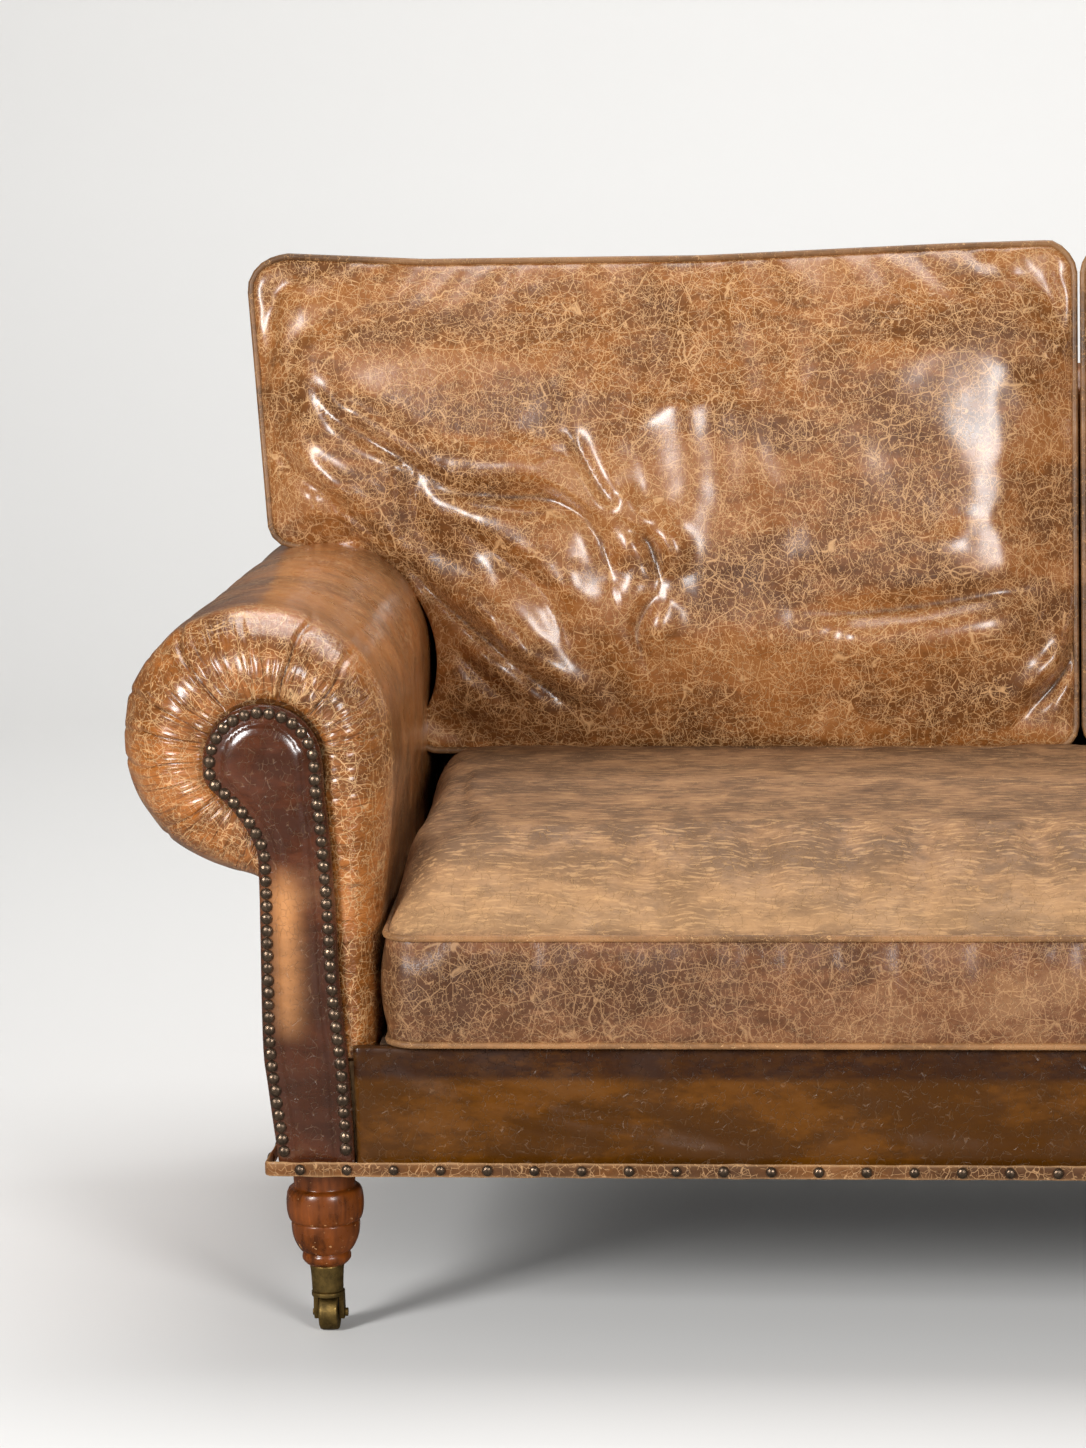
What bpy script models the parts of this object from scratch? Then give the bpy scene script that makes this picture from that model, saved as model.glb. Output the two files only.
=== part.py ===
"""Worn leather roll-arm sofa on turned legs and brass castors, built as an upholsterer builds one.

Every length is in metres. X runs along the sofa, +Z is up, and the front faces -Y.
Depths are measured back from the front face of the wooden frame.
"""

import math

import bmesh
import bpy
from mathutils import Matrix, Vector

# Fit between touching pieces
CLEAR = 0.0003

# Castors: a brass cup under the leg, a fork that swivels below it and a brass wheel
WHEEL_RADIUS = 0.0185
WHEEL_WIDTH = 0.0196
WHEEL_SIDES = 20
AXLE_RADIUS = 0.0025
AXLE_HEAD_RADIUS = 0.0045
AXLE_HEAD_LENGTH = 0.003
CASTOR_TRAIL = 0.009
FORK_GAP = 0.001
EAR_THICKNESS = 0.0048
EAR_REACH = 0.0075
FORK_PLATE_RADIUS = 0.0170
FORK_PLATE_THICKNESS = 0.0040
WHEEL_TO_PLATE = 0.0030
SWIVEL_PIN_RADIUS = 0.0040
SWIVEL_HEAD_RADIUS = 0.0065
SWIVEL_HEAD_LENGTH = 0.0020
RUNNING_GAP = 0.0003
CUP_HEIGHT = 0.029
CUP_TOP_RADIUS = 0.0178
CUP_LOW_RADIUS = 0.0162
CUP_FLOOR = 0.004
SPIGOT_RADIUS = 0.0130

# Turned legs
LEG_TOP = 0.194
LEG_TENON_RADIUS = 0.0245
LEG_NECK_RADIUS = 0.033
LEG_RING_RADIUS = 0.0398
LEG_BULB_RADIUS = 0.0350
LEG_FOOT_RADIUS = 0.0250
LEG_INSET = 0.027
LEG_DEPTH = 0.050
TURNED_SIDES = 14

# Seat frame
FRAME_HALF = 0.800
FRAME_DEPTH = 0.860
RAIL_HEIGHT = 0.104
RAIL_THICKNESS = 0.028
RAIL_LOW = LEG_TOP + CLEAR
RAIL_HIGH = RAIL_LOW + RAIL_HEIGHT
CORNER_BLOCK = 0.085
CORNER_BLOCK_HEIGHT = 0.060
CENTRE_RAIL_HEIGHT = 0.062

# Arms
STUMP_THICKNESS = 0.025
ARM_BOARD_THICKNESS = 0.025
ARM_BOARD_WIDTH = 0.060
ARM_BOARD_HEIGHT = 0.292
STUFF_RAIL_LIFT = 0.030
STUFF_RAIL_HEIGHT = 0.040
STUFF_RAIL_THICKNESS = 0.025
ARM_RIM = 0.070
ARM_LEAN_START = 0.400
PLEAT_DEPTH = 0.0045
PLEATS = 16

# Back
RAKE = math.radians(9.5)
BACK_HEIGHT = 0.560
POST_WIDTH = 0.035
POST_THICKNESS = 0.028
BACK_RAIL_HEIGHT = 0.060
BACK_PAD = 0.060
BACK_PAD_CROWN = 0.004
BACK_COVER = 0.012
BACK_TOP_ROLL = 0.052
BACK_LOW_RAIL_LIFT = 0.090

# Coverings
LEATHER = 0.014
PANEL_THICKNESS = 0.015
PANEL_PAD = 0.004
BORDER_THICKNESS = 0.011
ARM_END_THICKNESS = 0.012
HEM = 0.012
BAND_HEIGHT = 0.022
BAND_THICKNESS = 0.003
WEBBING = 0.003
WEB_WIDTH = 0.050
SEAT_WEBS = 7
SEAT_CROSS_WEBS = 3
BACK_WEBS = 7
BACK_CROSS_WEBS = 2
DECK = 0.0145
DUST_COVER = 0.002

# Nails
NAIL_RADIUS = 0.0057
NAIL_HEIGHT = 0.0040
NAIL_SIDES = 5
NAIL_PITCH = 0.0124
NAIL_INSET = 0.0095
BAND_NAIL_PITCH = 0.047

# Cushions
PIPING = 0.0045
SEAT_SIDE_GAP = 0.0060
SEAT_OVERHANG = 0.022
SEAT_EDGE = 0.113
SEAT_CROWN = 0.080
SEAT_CORNER = 0.030
SEAT_CELLS = (20, 11)
BACK_CUSHION_EDGE = 0.155
BACK_CUSHION_CROWN = 0.048
BACK_CUSHION_REAR_CROWN = 0.018
BACK_CUSHION_HEIGHT = 0.548
BACK_CUSHION_CELLS = (15, 13)
EAR_REACH_TOP = 0.130
EAR_REACH_LOW = 0.105
EAR_CORNER = 0.025
NOTCH_ROUND = 0.075
SEAT_SWELL = (10, 5)
BACK_SWELL = (5, 5)
BAND_STANDOFF = 0.002

# Levels worked out from the sizes above
WEB_TOP = RAIL_HIGH + CLEAR + WEBBING
DECK_TOP = WEB_TOP + CLEAR + DECK
ARM_FOOT = WEBBING + 3 * CLEAR
BASE_LOW = RAIL_LOW - HEM
BASE_FOOT = BASE_LOW - RAIL_HIGH
SIDE_FACE = FRAME_HALF + CLEAR + LEATHER
PANEL_FRONT = -CLEAR - PANEL_THICKNESS
BAND_FRONT = PANEL_FRONT - CLEAR - BAND_THICKNESS
POST_FOOT = FRAME_DEPTH - POST_THICKNESS
LEG_X = FRAME_HALF - LEG_INSET
LEG_REAR_DEPTH = FRAME_DEPTH - LEG_DEPTH
AXLE_HEIGHT = WHEEL_RADIUS * math.cos(math.pi / WHEEL_SIDES)
FORK_PLATE_LOW = AXLE_HEIGHT + WHEEL_RADIUS + WHEEL_TO_PLATE
FORK_PLATE_HIGH = FORK_PLATE_LOW + FORK_PLATE_THICKNESS
CUP_LOW = FORK_PLATE_HIGH + CLEAR
CUP_TOP = CUP_LOW + CUP_HEIGHT
BACK_REACH = BACK_HEIGHT * math.sin(RAKE) + (POST_THICKNESS + BACK_COVER) * math.cos(RAKE)
FRONTMOST = -SEAT_OVERHANG - PIPING
REARMOST = POST_FOOT + BACK_REACH
MIDDLE = (FRONTMOST + REARMOST) / 2

# Outlines of the left arm, as distances inwards from the frame's side and up from the rails' top:
# a straight inner face, then a scroll given by angle and radius, then its outer end
ARM_FACE_FRONT = 0.095
ARM_FACE_BACK = 0.055
SCROLL_ANGLES = (0, 25, 50, 75, 100, 125, 150, 175, 200, 225, 250)
OUTER_FRONT = {
    "inner": ((ARM_FACE_FRONT, ARM_FOOT), (ARM_FACE_FRONT + 0.001, 0.088), (0.102, 0.178), (0.111, 0.253)),
    "centre": (-0.015, 0.310),
    "radii": (0.129, 0.132, 0.138, 0.144, 0.149, 0.155, 0.156, 0.152, 0.148, 0.140, 0.135),
    "end": (-0.0215, 0.180),
}
OUTER_BACK = {
    "inner": ((ARM_FACE_BACK, ARM_FOOT), (ARM_FACE_BACK, 0.088), (0.056, 0.178), (0.058, 0.253)),
    "centre": (-0.038, 0.306),
    "radii": (0.096, 0.104, 0.114, 0.122, 0.128, 0.134, 0.132, 0.124, 0.118, 0.112, 0.108),
    "end": (-0.0215, 0.200),
}
HOLLOW_FRONT = {
    "inner": ((0.053, ARM_FOOT), (0.051, 0.088), (0.048, 0.178), (0.042, 0.258)),
    "centre": (-0.011, 0.310),
    "radii": (0.052, 0.052, 0.052, 0.052, 0.052, 0.052, 0.052, 0.052, 0.052, 0.052, 0.056),
    "end": (0.0012, 0.180),
}
HOLLOW_BACK = {
    "inner": ((0.038, ARM_FOOT), (0.038, 0.088), (0.038, 0.178), (0.036, 0.258)),
    "centre": (-0.018, 0.310),
    "radii": (0.048, 0.048, 0.048, 0.048, 0.048, 0.048, 0.048, 0.048, 0.048, 0.048, 0.052),
    "end": (0.0012, 0.200),
}
PANEL_CENTRE = (-0.0135, 0.307)
PANEL_RADIUS = 0.0605
PANEL_ARC = (0, 40, 80, 120, 160, 200)
PANEL_RIGHT = ((0.068, BASE_FOOT), (0.065, -0.010), (0.058, 0.078), (0.056, 0.150), (0.052, 0.235), (0.048, 0.275))
PANEL_LEFT = (
    (-0.045, 0.260),
    (-0.024, 0.225),
    (-0.0205, 0.188),
    (-0.022, 0.028),
    (-0.018, -0.025),
    (-0.008, BASE_FOOT),
)
STATIONS = (0.0, 0.003, 0.010, 0.022, 0.040, ARM_RIM, 0.110, 0.250, 0.450, 0.650)
SAMPLES = 3


def material(name, colour, roughness, metallic=0.0):
    made = bpy.data.materials.new(name)
    made.diffuse_color = (*colour, 1.0)
    made.use_nodes = True
    shader = made.node_tree.nodes["Principled BSDF"]
    shader.inputs["Base Color"].default_value = (*colour, 1.0)
    shader.inputs["Roughness"].default_value = roughness
    shader.inputs["Metallic"].default_value = metallic
    return made


def make_object(name, mesh, finish):
    made = bpy.data.objects.new(name, mesh)
    bpy.data.collections["sofa"].objects.link(made)
    mesh.materials.clear()
    mesh.materials.append(finish)
    return made


def from_bmesh(name, shape, finish):
    mesh = bpy.data.meshes.new(name)
    shape.to_mesh(mesh)
    shape.free()
    return make_object(name, mesh, finish)


def evaluated_mesh(source):
    bpy.context.view_layer.update()
    graph = bpy.context.evaluated_depsgraph_get()
    return bpy.data.meshes.new_from_object(source.evaluated_get(graph))


def weld(mesh, distance=0.00001):
    shape = bmesh.new()
    shape.from_mesh(mesh)
    bmesh.ops.remove_doubles(shape, verts=shape.verts, dist=distance)
    bmesh.ops.recalc_face_normals(shape, faces=shape.faces)
    shape.to_mesh(mesh)
    shape.free()


def bake(made):
    """Replaces an object's mesh with what its modifiers make of it."""
    finish = made.data.materials[0]
    mesh = evaluated_mesh(made)
    made.modifiers.clear()
    made.data = mesh
    mesh.materials.clear()
    mesh.materials.append(finish)
    return made


def combine(made, others, operation):
    """Joins the others to an object, or cuts them from it, and removes them."""
    for other in others:
        step = made.modifiers.new(other.name, "BOOLEAN")
        step.operation = operation
        step.object = other
    bake(made)
    for other in others:
        bpy.data.objects.remove(other)
    return made


def box(name, low, high, finish, round_edges=0.0):
    shape = bmesh.new()
    bmesh.ops.create_cube(shape, size=1.0)
    size = Vector(high) - Vector(low)
    middle = (Vector(high) + Vector(low)) / 2
    bmesh.ops.transform(shape, matrix=Matrix.Translation(middle) @ Matrix.Diagonal((*size, 1)), verts=shape.verts)
    made = from_bmesh(name, shape, finish)
    if round_edges:
        bevel = made.modifiers.new("edges", "BEVEL")
        bevel.width = round_edges
        bevel.segments = 1
    return made


def cylinder(name, radius, low, high, sides, finish, radius_high=None):
    """A solid of round section between two points."""
    start, end = Vector(low), Vector(high)
    run = end - start
    shape = bmesh.new()
    bmesh.ops.create_cone(
        shape,
        cap_ends=True,
        segments=sides,
        radius1=radius,
        radius2=radius if radius_high is None else radius_high,
        depth=run.length,
    )
    turn = run.to_track_quat("Z", "Y").to_matrix().to_4x4()
    bmesh.ops.transform(shape, matrix=Matrix.Translation((start + end) / 2) @ turn, verts=shape.verts)
    return from_bmesh(name, shape, finish)


# Which way a flat outline lies: its two coordinates and its thickness, as columns
FACING_FRONT = Matrix(((1, 0, 0, 0), (0, 0, -1, 0), (0, 1, 0, 0), (0, 0, 0, 1)))
FACING_SIDE = Matrix(((0, 0, 1, 0), (1, 0, 0, 0), (0, 1, 0, 0), (0, 0, 0, 1)))
FACING_UP = Matrix.Identity(4)


def plate(name, outline, low, high, facing, finish):
    """A flat outline given a thickness from low to high along the axis that it faces."""
    curve = bpy.data.curves.new(name, "CURVE")
    curve.dimensions = "2D"
    curve.fill_mode = "BOTH"
    curve.extrude = (high - low) / 2
    spline = curve.splines.new("POLY")
    spline.points.add(len(outline) - 1)
    for point, (across, up) in zip(spline.points, outline):
        point.co = (across, up, 0, 1)
    spline.use_cyclic_u = True
    guide = bpy.data.objects.new(name + "_outline", curve)
    bpy.data.collections["sofa"].objects.link(guide)
    mesh = evaluated_mesh(guide)
    bpy.data.objects.remove(guide)
    normal = facing.to_3x3() @ Vector((0, 0, 1))
    axis_sign = 1 if sum(normal) > 0 else -1
    mesh.transform(Matrix.Translation(normal * axis_sign * (low + high) / 2) @ facing)
    weld(mesh)
    return make_object(name, mesh, finish)


def turned(name, profile, sides, finish, turn=Matrix.Identity(4)):
    """A solid turned about Z from a profile of (radius, height), given from top to bottom."""
    mesh = bpy.data.meshes.new(name)
    corners = [(radius, 0, height) for radius, height in profile]
    mesh.from_pydata(corners, [(i, i + 1) for i in range(len(corners) - 1)], [])
    made = make_object(name, mesh, finish)
    screw = made.modifiers.new("turning", "SCREW")
    screw.steps = sides
    screw.render_steps = sides
    screw.use_merge_vertices = True
    screw.merge_threshold = 0.00005
    bake(made)
    weld(made.data)
    made.data.transform(turn)
    return made


def smooth_path(points, samples):
    """Points on a Catmull-Rom curve through the given ones, ends included."""
    found = []
    last = len(points) - 1
    for i in range(last):
        before, start, end, after = (Vector(points[max(0, min(last, i + k))]) for k in (-1, 0, 1, 2))
        for step in range(samples):
            t = step / samples
            found.append(
                0.5
                * (
                    2 * start
                    + (end - before) * t
                    + (2 * before - 5 * start + 4 * end - after) * t**2
                    + (3 * start - before - 3 * end + after) * t**3
                )
            )
    found.append(Vector(points[last]))
    return found


def from_corner(inwards, up):
    """A point at (x, z), given from the left side and the top of the seat frame."""
    return Vector((inwards - FRAME_HALF, RAIL_HIGH + up))


def scroll_points(outline):
    """The points that a scroll outline names, from the foot of its inner face round to its outer end."""
    centre = from_corner(*outline["centre"])
    scroll = [
        centre + radius * Vector((math.cos(math.radians(angle)), math.sin(math.radians(angle))))
        for angle, radius in zip(SCROLL_ANGLES, outline["radii"])
    ]
    return [from_corner(*p) for p in outline["inner"]] + scroll + [from_corner(*outline["end"])]


def offset_outline(points, distance):
    """A closed outline moved outwards by a distance, or inwards where it is negative."""
    count = len(points)
    area = sum(points[i].x * points[(i + 1) % count].y - points[(i + 1) % count].x * points[i].y for i in range(count))
    side = 1 if area > 0 else -1
    moved = []
    for i in range(count):
        into = (points[i] - points[i - 1]).normalized()
        out = (points[(i + 1) % count] - points[i]).normalized()
        along = (into + out).normalized()
        stretch = 1 / max(0.5, along.dot(out))
        moved.append(points[i] + Vector((along.y, -along.x)) * distance * side * stretch)
    return moved


def sections(front, back, samples):
    """Returns the outline of an arm at a depth, blended between its front and back outlines."""
    first = smooth_path(scroll_points(front), samples)
    last = smooth_path(scroll_points(back), samples)
    return lambda depth: [a.lerp(b, depth / POST_FOOT) for a, b in zip(first, last)]


ARM_OUTER = sections(OUTER_FRONT, OUTER_BACK, SAMPLES)
ARM_HOLLOW = sections(HOLLOW_FRONT, HOLLOW_BACK, SAMPLES)


def post_face(height):
    """Depth of the front of the back posts at a height."""
    return POST_FOOT + (height - RAIL_HIGH) * math.tan(RAKE)


def leant_depth(depth, height):
    """Depth of a point of an arm, which leans with the back posts at its rear end."""
    share = max(0.0, (depth - ARM_LEAN_START) / (POST_FOOT - ARM_LEAN_START))
    return depth + share * share * (height - RAIL_HIGH) * math.tan(RAKE)


def arm_rows():
    """Outer outline of the arm at each station, drawn in and pleated at the front."""
    rows = []
    depths = [*STATIONS, POST_FOOT - 2 * CLEAR]
    for depth in depths:
        share = math.sqrt(max(0.0, 1 - (1 - min(1.0, depth / ARM_RIM)) ** 2))
        grow = 0.22 + 0.78 * share
        outer, hollow = ARM_OUTER(depth), ARM_HOLLOW(depth)
        last = len(outer) - 1
        row = []
        for i, (rim, core) in enumerate(zip(outer, hollow)):
            radial = rim - core
            along = i / last
            on_scroll = min(1.0, max(0.0, (along - 0.22) / 0.1)) * min(1.0, (1 - along) / 0.12)
            fold = math.cos(2 * math.pi * PLEATS * along) * PLEAT_DEPTH * on_scroll
            fade = math.sin(math.pi * min(1.0, share)) + 0.3 * (0 < share < 1)
            row.append(core + radial * grow + radial.normalized() * fold * fade)
        rows.append((depth, row, hollow))
    return rows


def arm_cover(name, finish):
    """Padded leather of the left arm: an open scroll round the hollow that holds the arm's frame."""
    shape = bmesh.new()
    outer_rows, hollow_rows = [], []
    for depth, row, hollow in arm_rows():
        outer_rows.append([shape.verts.new((p.x, leant_depth(depth, p.y), p.y)) for p in row])
        coarse = hollow[::SAMPLES]
        hollow_rows.append([shape.verts.new((p.x, leant_depth(depth, p.y), p.y)) for p in coarse])
    for rows in (outer_rows, hollow_rows):
        for near, far in zip(rows, rows[1:]):
            for i in range(len(near) - 1):
                shape.faces.new((near[i], near[i + 1], far[i + 1], far[i]))
    for end in (0, -1):
        edge = [row[end] for row in outer_rows]
        inner = [row[end] for row in reversed(hollow_rows)]
        shape.faces.new(edge + inner)
        shape.faces.new(outer_rows[end] + hollow_rows[end][::-1])
    bmesh.ops.recalc_face_normals(shape, faces=shape.faces)
    bmesh.ops.triangulate(shape, faces=shape.faces)
    return from_bmesh(name, shape, finish)


def arm_envelope(name, gap, finish):
    """The room that the left arm takes, with its stem filled, to cut from what leans on it."""
    shape = bmesh.new()
    rows = []
    for depth in (-0.05, 0.25, 0.45, 0.65, POST_FOOT, POST_FOOT + 0.12):
        outline = ARM_OUTER(max(0.0, min(depth, POST_FOOT)))
        closed = [*outline, Vector((outline[-1].x, RAIL_LOW)), Vector((outline[0].x, RAIL_LOW))]
        rows.append([shape.verts.new((p.x, leant_depth(depth, p.y), p.y)) for p in offset_outline(closed, gap)])
    for near, far in zip(rows, rows[1:]):
        for i in range(len(near)):
            shape.faces.new((near[i - 1], near[i], far[i], far[i - 1]))
    shape.faces.new(rows[0])
    shape.faces.new(rows[-1])
    bmesh.ops.recalc_face_normals(shape, faces=shape.faces)
    bmesh.ops.triangulate(shape, faces=shape.faces)
    return from_bmesh(name, shape, finish)


def mirrored(made, name):
    """The right-hand twin of a left-hand piece."""
    mesh = made.data.copy()
    mesh.transform(Matrix.Diagonal((-1, 1, 1, 1)))
    mesh.flip_normals()
    return make_object(name, mesh, made.data.materials[0])


def panel_outline():
    """Keyhole outline of the left arm's facing panel."""
    centre = from_corner(*PANEL_CENTRE)
    arc = [
        centre + PANEL_RADIUS * Vector((math.cos(math.radians(a)), math.sin(math.radians(a))))
        for a in PANEL_ARC
    ]
    right = [from_corner(*p) for p in PANEL_RIGHT]
    left = [from_corner(*p) for p in PANEL_LEFT]
    return smooth_path([*right, *arc, *left], 2)


def spaced(points, pitch):
    """Points an even distance apart, close to the pitch, along an open path, ends included."""
    lengths = [(b - a).length for a, b in zip(points, points[1:])]
    total = sum(lengths)
    count = max(1, round(total / pitch))
    found = []
    for step in range(count + 1):
        left = total * step / count
        for (a, b), length in zip(zip(points, points[1:]), lengths):
            if left <= length + 1e-9:
                break
            left -= length
        found.append(a.lerp(b, min(1.0, left / length)))
    return found


def nails(name, spots, normal, finish):
    """Dome-headed nails as low cones in one mesh, each let a little into what it is driven into."""
    shape = bmesh.new()
    turn = Vector(normal).to_track_quat("Z", "Y").to_matrix().to_4x4()
    depth = NAIL_HEIGHT + PANEL_PAD / 4
    for spot in spots:
        middle = Vector(spot) + Vector(normal) * (NAIL_HEIGHT - depth / 2)
        bmesh.ops.create_cone(
            shape,
            cap_ends=True,
            segments=NAIL_SIDES,
            radius1=NAIL_RADIUS,
            radius2=0.0,
            depth=depth,
            matrix=Matrix.Translation(middle) @ turn,
        )
    return from_bmesh(name, shape, finish)


def arm_panel(name, finish):
    """Padded facing panel of the left arm with its close row of nails."""
    outline = panel_outline()
    made = plate(name, outline, PANEL_FRONT, -CLEAR, FACING_FRONT, finish)
    middle = offset_outline(outline, -2 * NAIL_INSET)
    pad = plate("panel_pad", middle, PANEL_FRONT - PANEL_PAD, PANEL_FRONT + PANEL_PAD, FACING_FRONT, finish)
    inset = offset_outline(outline, -NAIL_INSET)
    line = [p for p in inset if p.y > BASE_LOW + BAND_HEIGHT + NAIL_RADIUS]
    spots = [(p.x, PANEL_FRONT, p.y) for p in spaced(line, NAIL_PITCH)]
    heads = nails("panel_nails", spots, (0, -1, 0), finish)
    room = box(
        "band_room",
        (-1, PANEL_FRONT - 2 * PANEL_PAD, BASE_LOW - HEM),
        (1, PANEL_FRONT, BASE_LOW + BAND_HEIGHT + CLEAR),
        finish,
    )
    combine(pad, [room], "DIFFERENCE")
    return combine(made, [pad, heads], "UNION")


def build_base_band(leather):
    """Leather strip round the foot of the base, with its spaced nails."""
    low, high = BASE_LOW, BASE_LOW + BAND_HEIGHT
    inner_x = SIDE_FACE + BAND_STANDOFF
    outer_x = inner_x + BAND_THICKNESS
    inner_front, outer_front = BAND_FRONT + BAND_THICKNESS, BAND_FRONT
    inner_back = FRAME_DEPTH + 2 * CLEAR + BACK_COVER
    outer_back = inner_back + BAND_THICKNESS
    made = box("base_band", (-outer_x, outer_front, low), (outer_x, outer_back, high), leather)
    room = box("band_hollow", (-inner_x, inner_front, low - HEM), (inner_x, inner_back, high + HEM), leather)
    combine(made, [room], "DIFFERENCE")
    height = (low + high) / 2
    across = spaced([Vector((-LEG_X - LEG_INSET / 2, 0)), Vector((LEG_X + LEG_INSET / 2, 0))], BAND_NAIL_PITCH)
    along = spaced([Vector((LEG_DEPTH / 2, 0)), Vector((LEG_REAR_DEPTH, 0))], BAND_NAIL_PITCH)
    rows = [
        nails("front_nails", [(p.x, outer_front, height) for p in across], (0, -1, 0), leather),
        nails("rear_nails", [(p.x, outer_back, height) for p in across], (0, 1, 0), leather),
        nails("left_nails", [(-outer_x, p.x, height) for p in along], (-1, 0, 0), leather),
        nails("right_nails", [(outer_x, p.x, height) for p in along], (1, 0, 0), leather),
    ]
    return combine(made, rows, "UNION")


def rounded(corners, steps=3):
    """A closed outline from (x, y, radius) corners, and the index of each corner's middle point."""
    found, middles = [], []
    count = len(corners)
    for i in range(count):
        x, y, radius = corners[i]
        here = Vector((x, y))
        before = (Vector(corners[i - 1][:2]) - here).normalized()
        after = (Vector(corners[(i + 1) % count][:2]) - here).normalized()
        half = before.angle(after) / 2
        reach = radius / math.tan(half)
        centre = here + (before + after).normalized() * (radius / math.sin(half))
        start = here + before * reach - centre
        end = here + after * reach - centre
        turn = start.angle_signed(end)
        for step in range(2 * steps + 1):
            if step == steps:
                middles.append(len(found))
            swing = Matrix.Rotation(-turn * step / (2 * steps), 2)
            found.append(centre + swing @ start)
    return found, middles


def even_points(points, count):
    """A number of points spread evenly by length along an open path, ends included."""
    lengths = [(b - a).length for a, b in zip(points, points[1:])]
    total = sum(lengths)
    found, index, passed = [], 0, 0.0
    for step in range(count + 1):
        target = total * step / count
        while index < len(lengths) - 1 and passed + lengths[index] < target:
            passed += lengths[index]
            index += 1
        found.append(points[index].lerp(points[index + 1], min(1.0, (target - passed) / lengths[index])))
    return found


def cushion(name, corners, grid_corners, cells, edge, crowns, swells, finish, folds=()):
    """A boxed cushion with piping, lying in its own XY plane with its best face towards +Z.

    corners make the outline, grid_corners names the four that end its sides, cells says how many
    faces lie along the first and second side, and swells how flat the crown is along each of them.
    """
    outline, middles = rounded(corners)
    marks = [middles[i] for i in grid_corners]
    sides = []
    for k in range(4):
        start, end = marks[k], marks[(k + 1) % 4]
        run = outline[start : end + 1] if end > start else outline[start:] + outline[: end + 1]
        sides.append(even_points(run, cells[k % 2]))
    bottom, right = sides[0], sides[1]
    top, left = sides[2][::-1], sides[3][::-1]
    across, up = cells

    def flat(i, j):
        u, v = i / across, j / up
        blend = bottom[i] * (1 - v) + top[i] * v + left[j] * (1 - u) + right[j] * u
        ends = (bottom[0] * (1 - u) + bottom[-1] * u) * (1 - v) + (top[0] * (1 - u) + top[-1] * u) * v
        return blend - ends

    def swell(i, j, crown):
        u, v = 2 * i / across - 1, 2 * j / up - 1
        return crown * (1 - abs(u) ** swells[0]) * (1 - abs(v) ** swells[1])

    def dent(point):
        return sum(depth * math.exp(-(segment_distance(point, a, b) / width) ** 2) for a, b, width, depth in folds)

    shape = bmesh.new()
    faces = []
    for crown, side in zip(crowns, (1, -1)):
        grid = {}
        for i in range(across + 1):
            for j in range(up + 1):
                at = flat(i, j)
                height = edge / 2 + swell(i, j, crown)
                if side > 0:
                    height -= dent(at) * min(1.0, swell(i, j, 1.0) * 3)
                grid[i, j] = shape.verts.new((at.x, at.y, side * height))
        for i in range(across):
            for j in range(up):
                quad = (grid[i, j], grid[i + 1, j], grid[i + 1, j + 1], grid[i, j + 1])
                shape.faces.new(quad if side > 0 else quad[::-1])
        faces.append(grid)
    loop = [(i, 0) for i in range(across)] + [(across, j) for j in range(up)]
    loop += [(i, up) for i in range(across, 0, -1)] + [(0, j) for j in range(up, 0, -1)]
    flats = [flat(i, j) for i, j in loop]
    rings = [[faces[0][key] for key in loop]]
    steps = ((PIPING, edge / 2), (0, edge / 2 - PIPING), (PIPING / 2, 0), (0, PIPING - edge / 2), (PIPING, -edge / 2))
    for out, height in steps:
        ring = offset_outline(flats, out) if out else flats
        rings.append([shape.verts.new((p.x, p.y, height)) for p in ring])
    rings.append([faces[1][key] for key in loop])
    for near, far in zip(rings, rings[1:]):
        for i in range(len(near)):
            shape.faces.new((near[i - 1], far[i - 1], far[i], near[i]))
    bmesh.ops.recalc_face_normals(shape, faces=shape.faces)
    bmesh.ops.triangulate(shape, faces=shape.faces)
    return from_bmesh(name, shape, finish)


def segment_distance(point, start, end):
    """Distance in the plane from a point to a straight stretch."""
    a, b = Vector(start), Vector(end)
    run = b - a
    share = max(0.0, min(1.0, (point - a).dot(run) / run.length_squared))
    return (point - (a + run * share)).length


def lattice(name, half, span, strips, cross, thickness, finish):
    """Webbing as one sheet: straps along Y and across X, with the gaps between them left open."""
    low, high = span
    first = [half * (2 * k - strips + 1) / strips for k in range(strips)]
    second = [low + (high - low) * (k + 1) / (cross + 1) for k in range(cross)]
    lines_x = sorted([-half, half, *(x + s * WEB_WIDTH / 2 for x in first for s in (-1, 1))])
    lines_y = sorted([low, high, *(y + s * WEB_WIDTH / 2 for y in second for s in (-1, 1))])
    shape = bmesh.new()
    grid = {(i, j): shape.verts.new((x, y, 0)) for i, x in enumerate(lines_x) for j, y in enumerate(lines_y)}
    for i in range(len(lines_x) - 1):
        for j in range(len(lines_y) - 1):
            if i % 2 or j % 2:
                shape.faces.new((grid[i, j], grid[i + 1, j], grid[i + 1, j + 1], grid[i, j + 1]))
    loose = [v for v in shape.verts if not v.link_faces]
    bmesh.ops.delete(shape, geom=loose, context="VERTS")
    made = from_bmesh(name, shape, finish)
    solid = made.modifiers.new("thickness", "SOLIDIFY")
    solid.thickness = thickness
    solid.offset = 1
    return bake(made)


def raked(along, forward):
    """(depth, height) of a point given along the back's slope and forward of the posts' front face."""
    return (
        POST_FOOT + along * math.sin(RAKE) - forward * math.cos(RAKE),
        RAIL_HIGH + CLEAR + along * math.cos(RAKE) + forward * math.sin(RAKE),
    )


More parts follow.
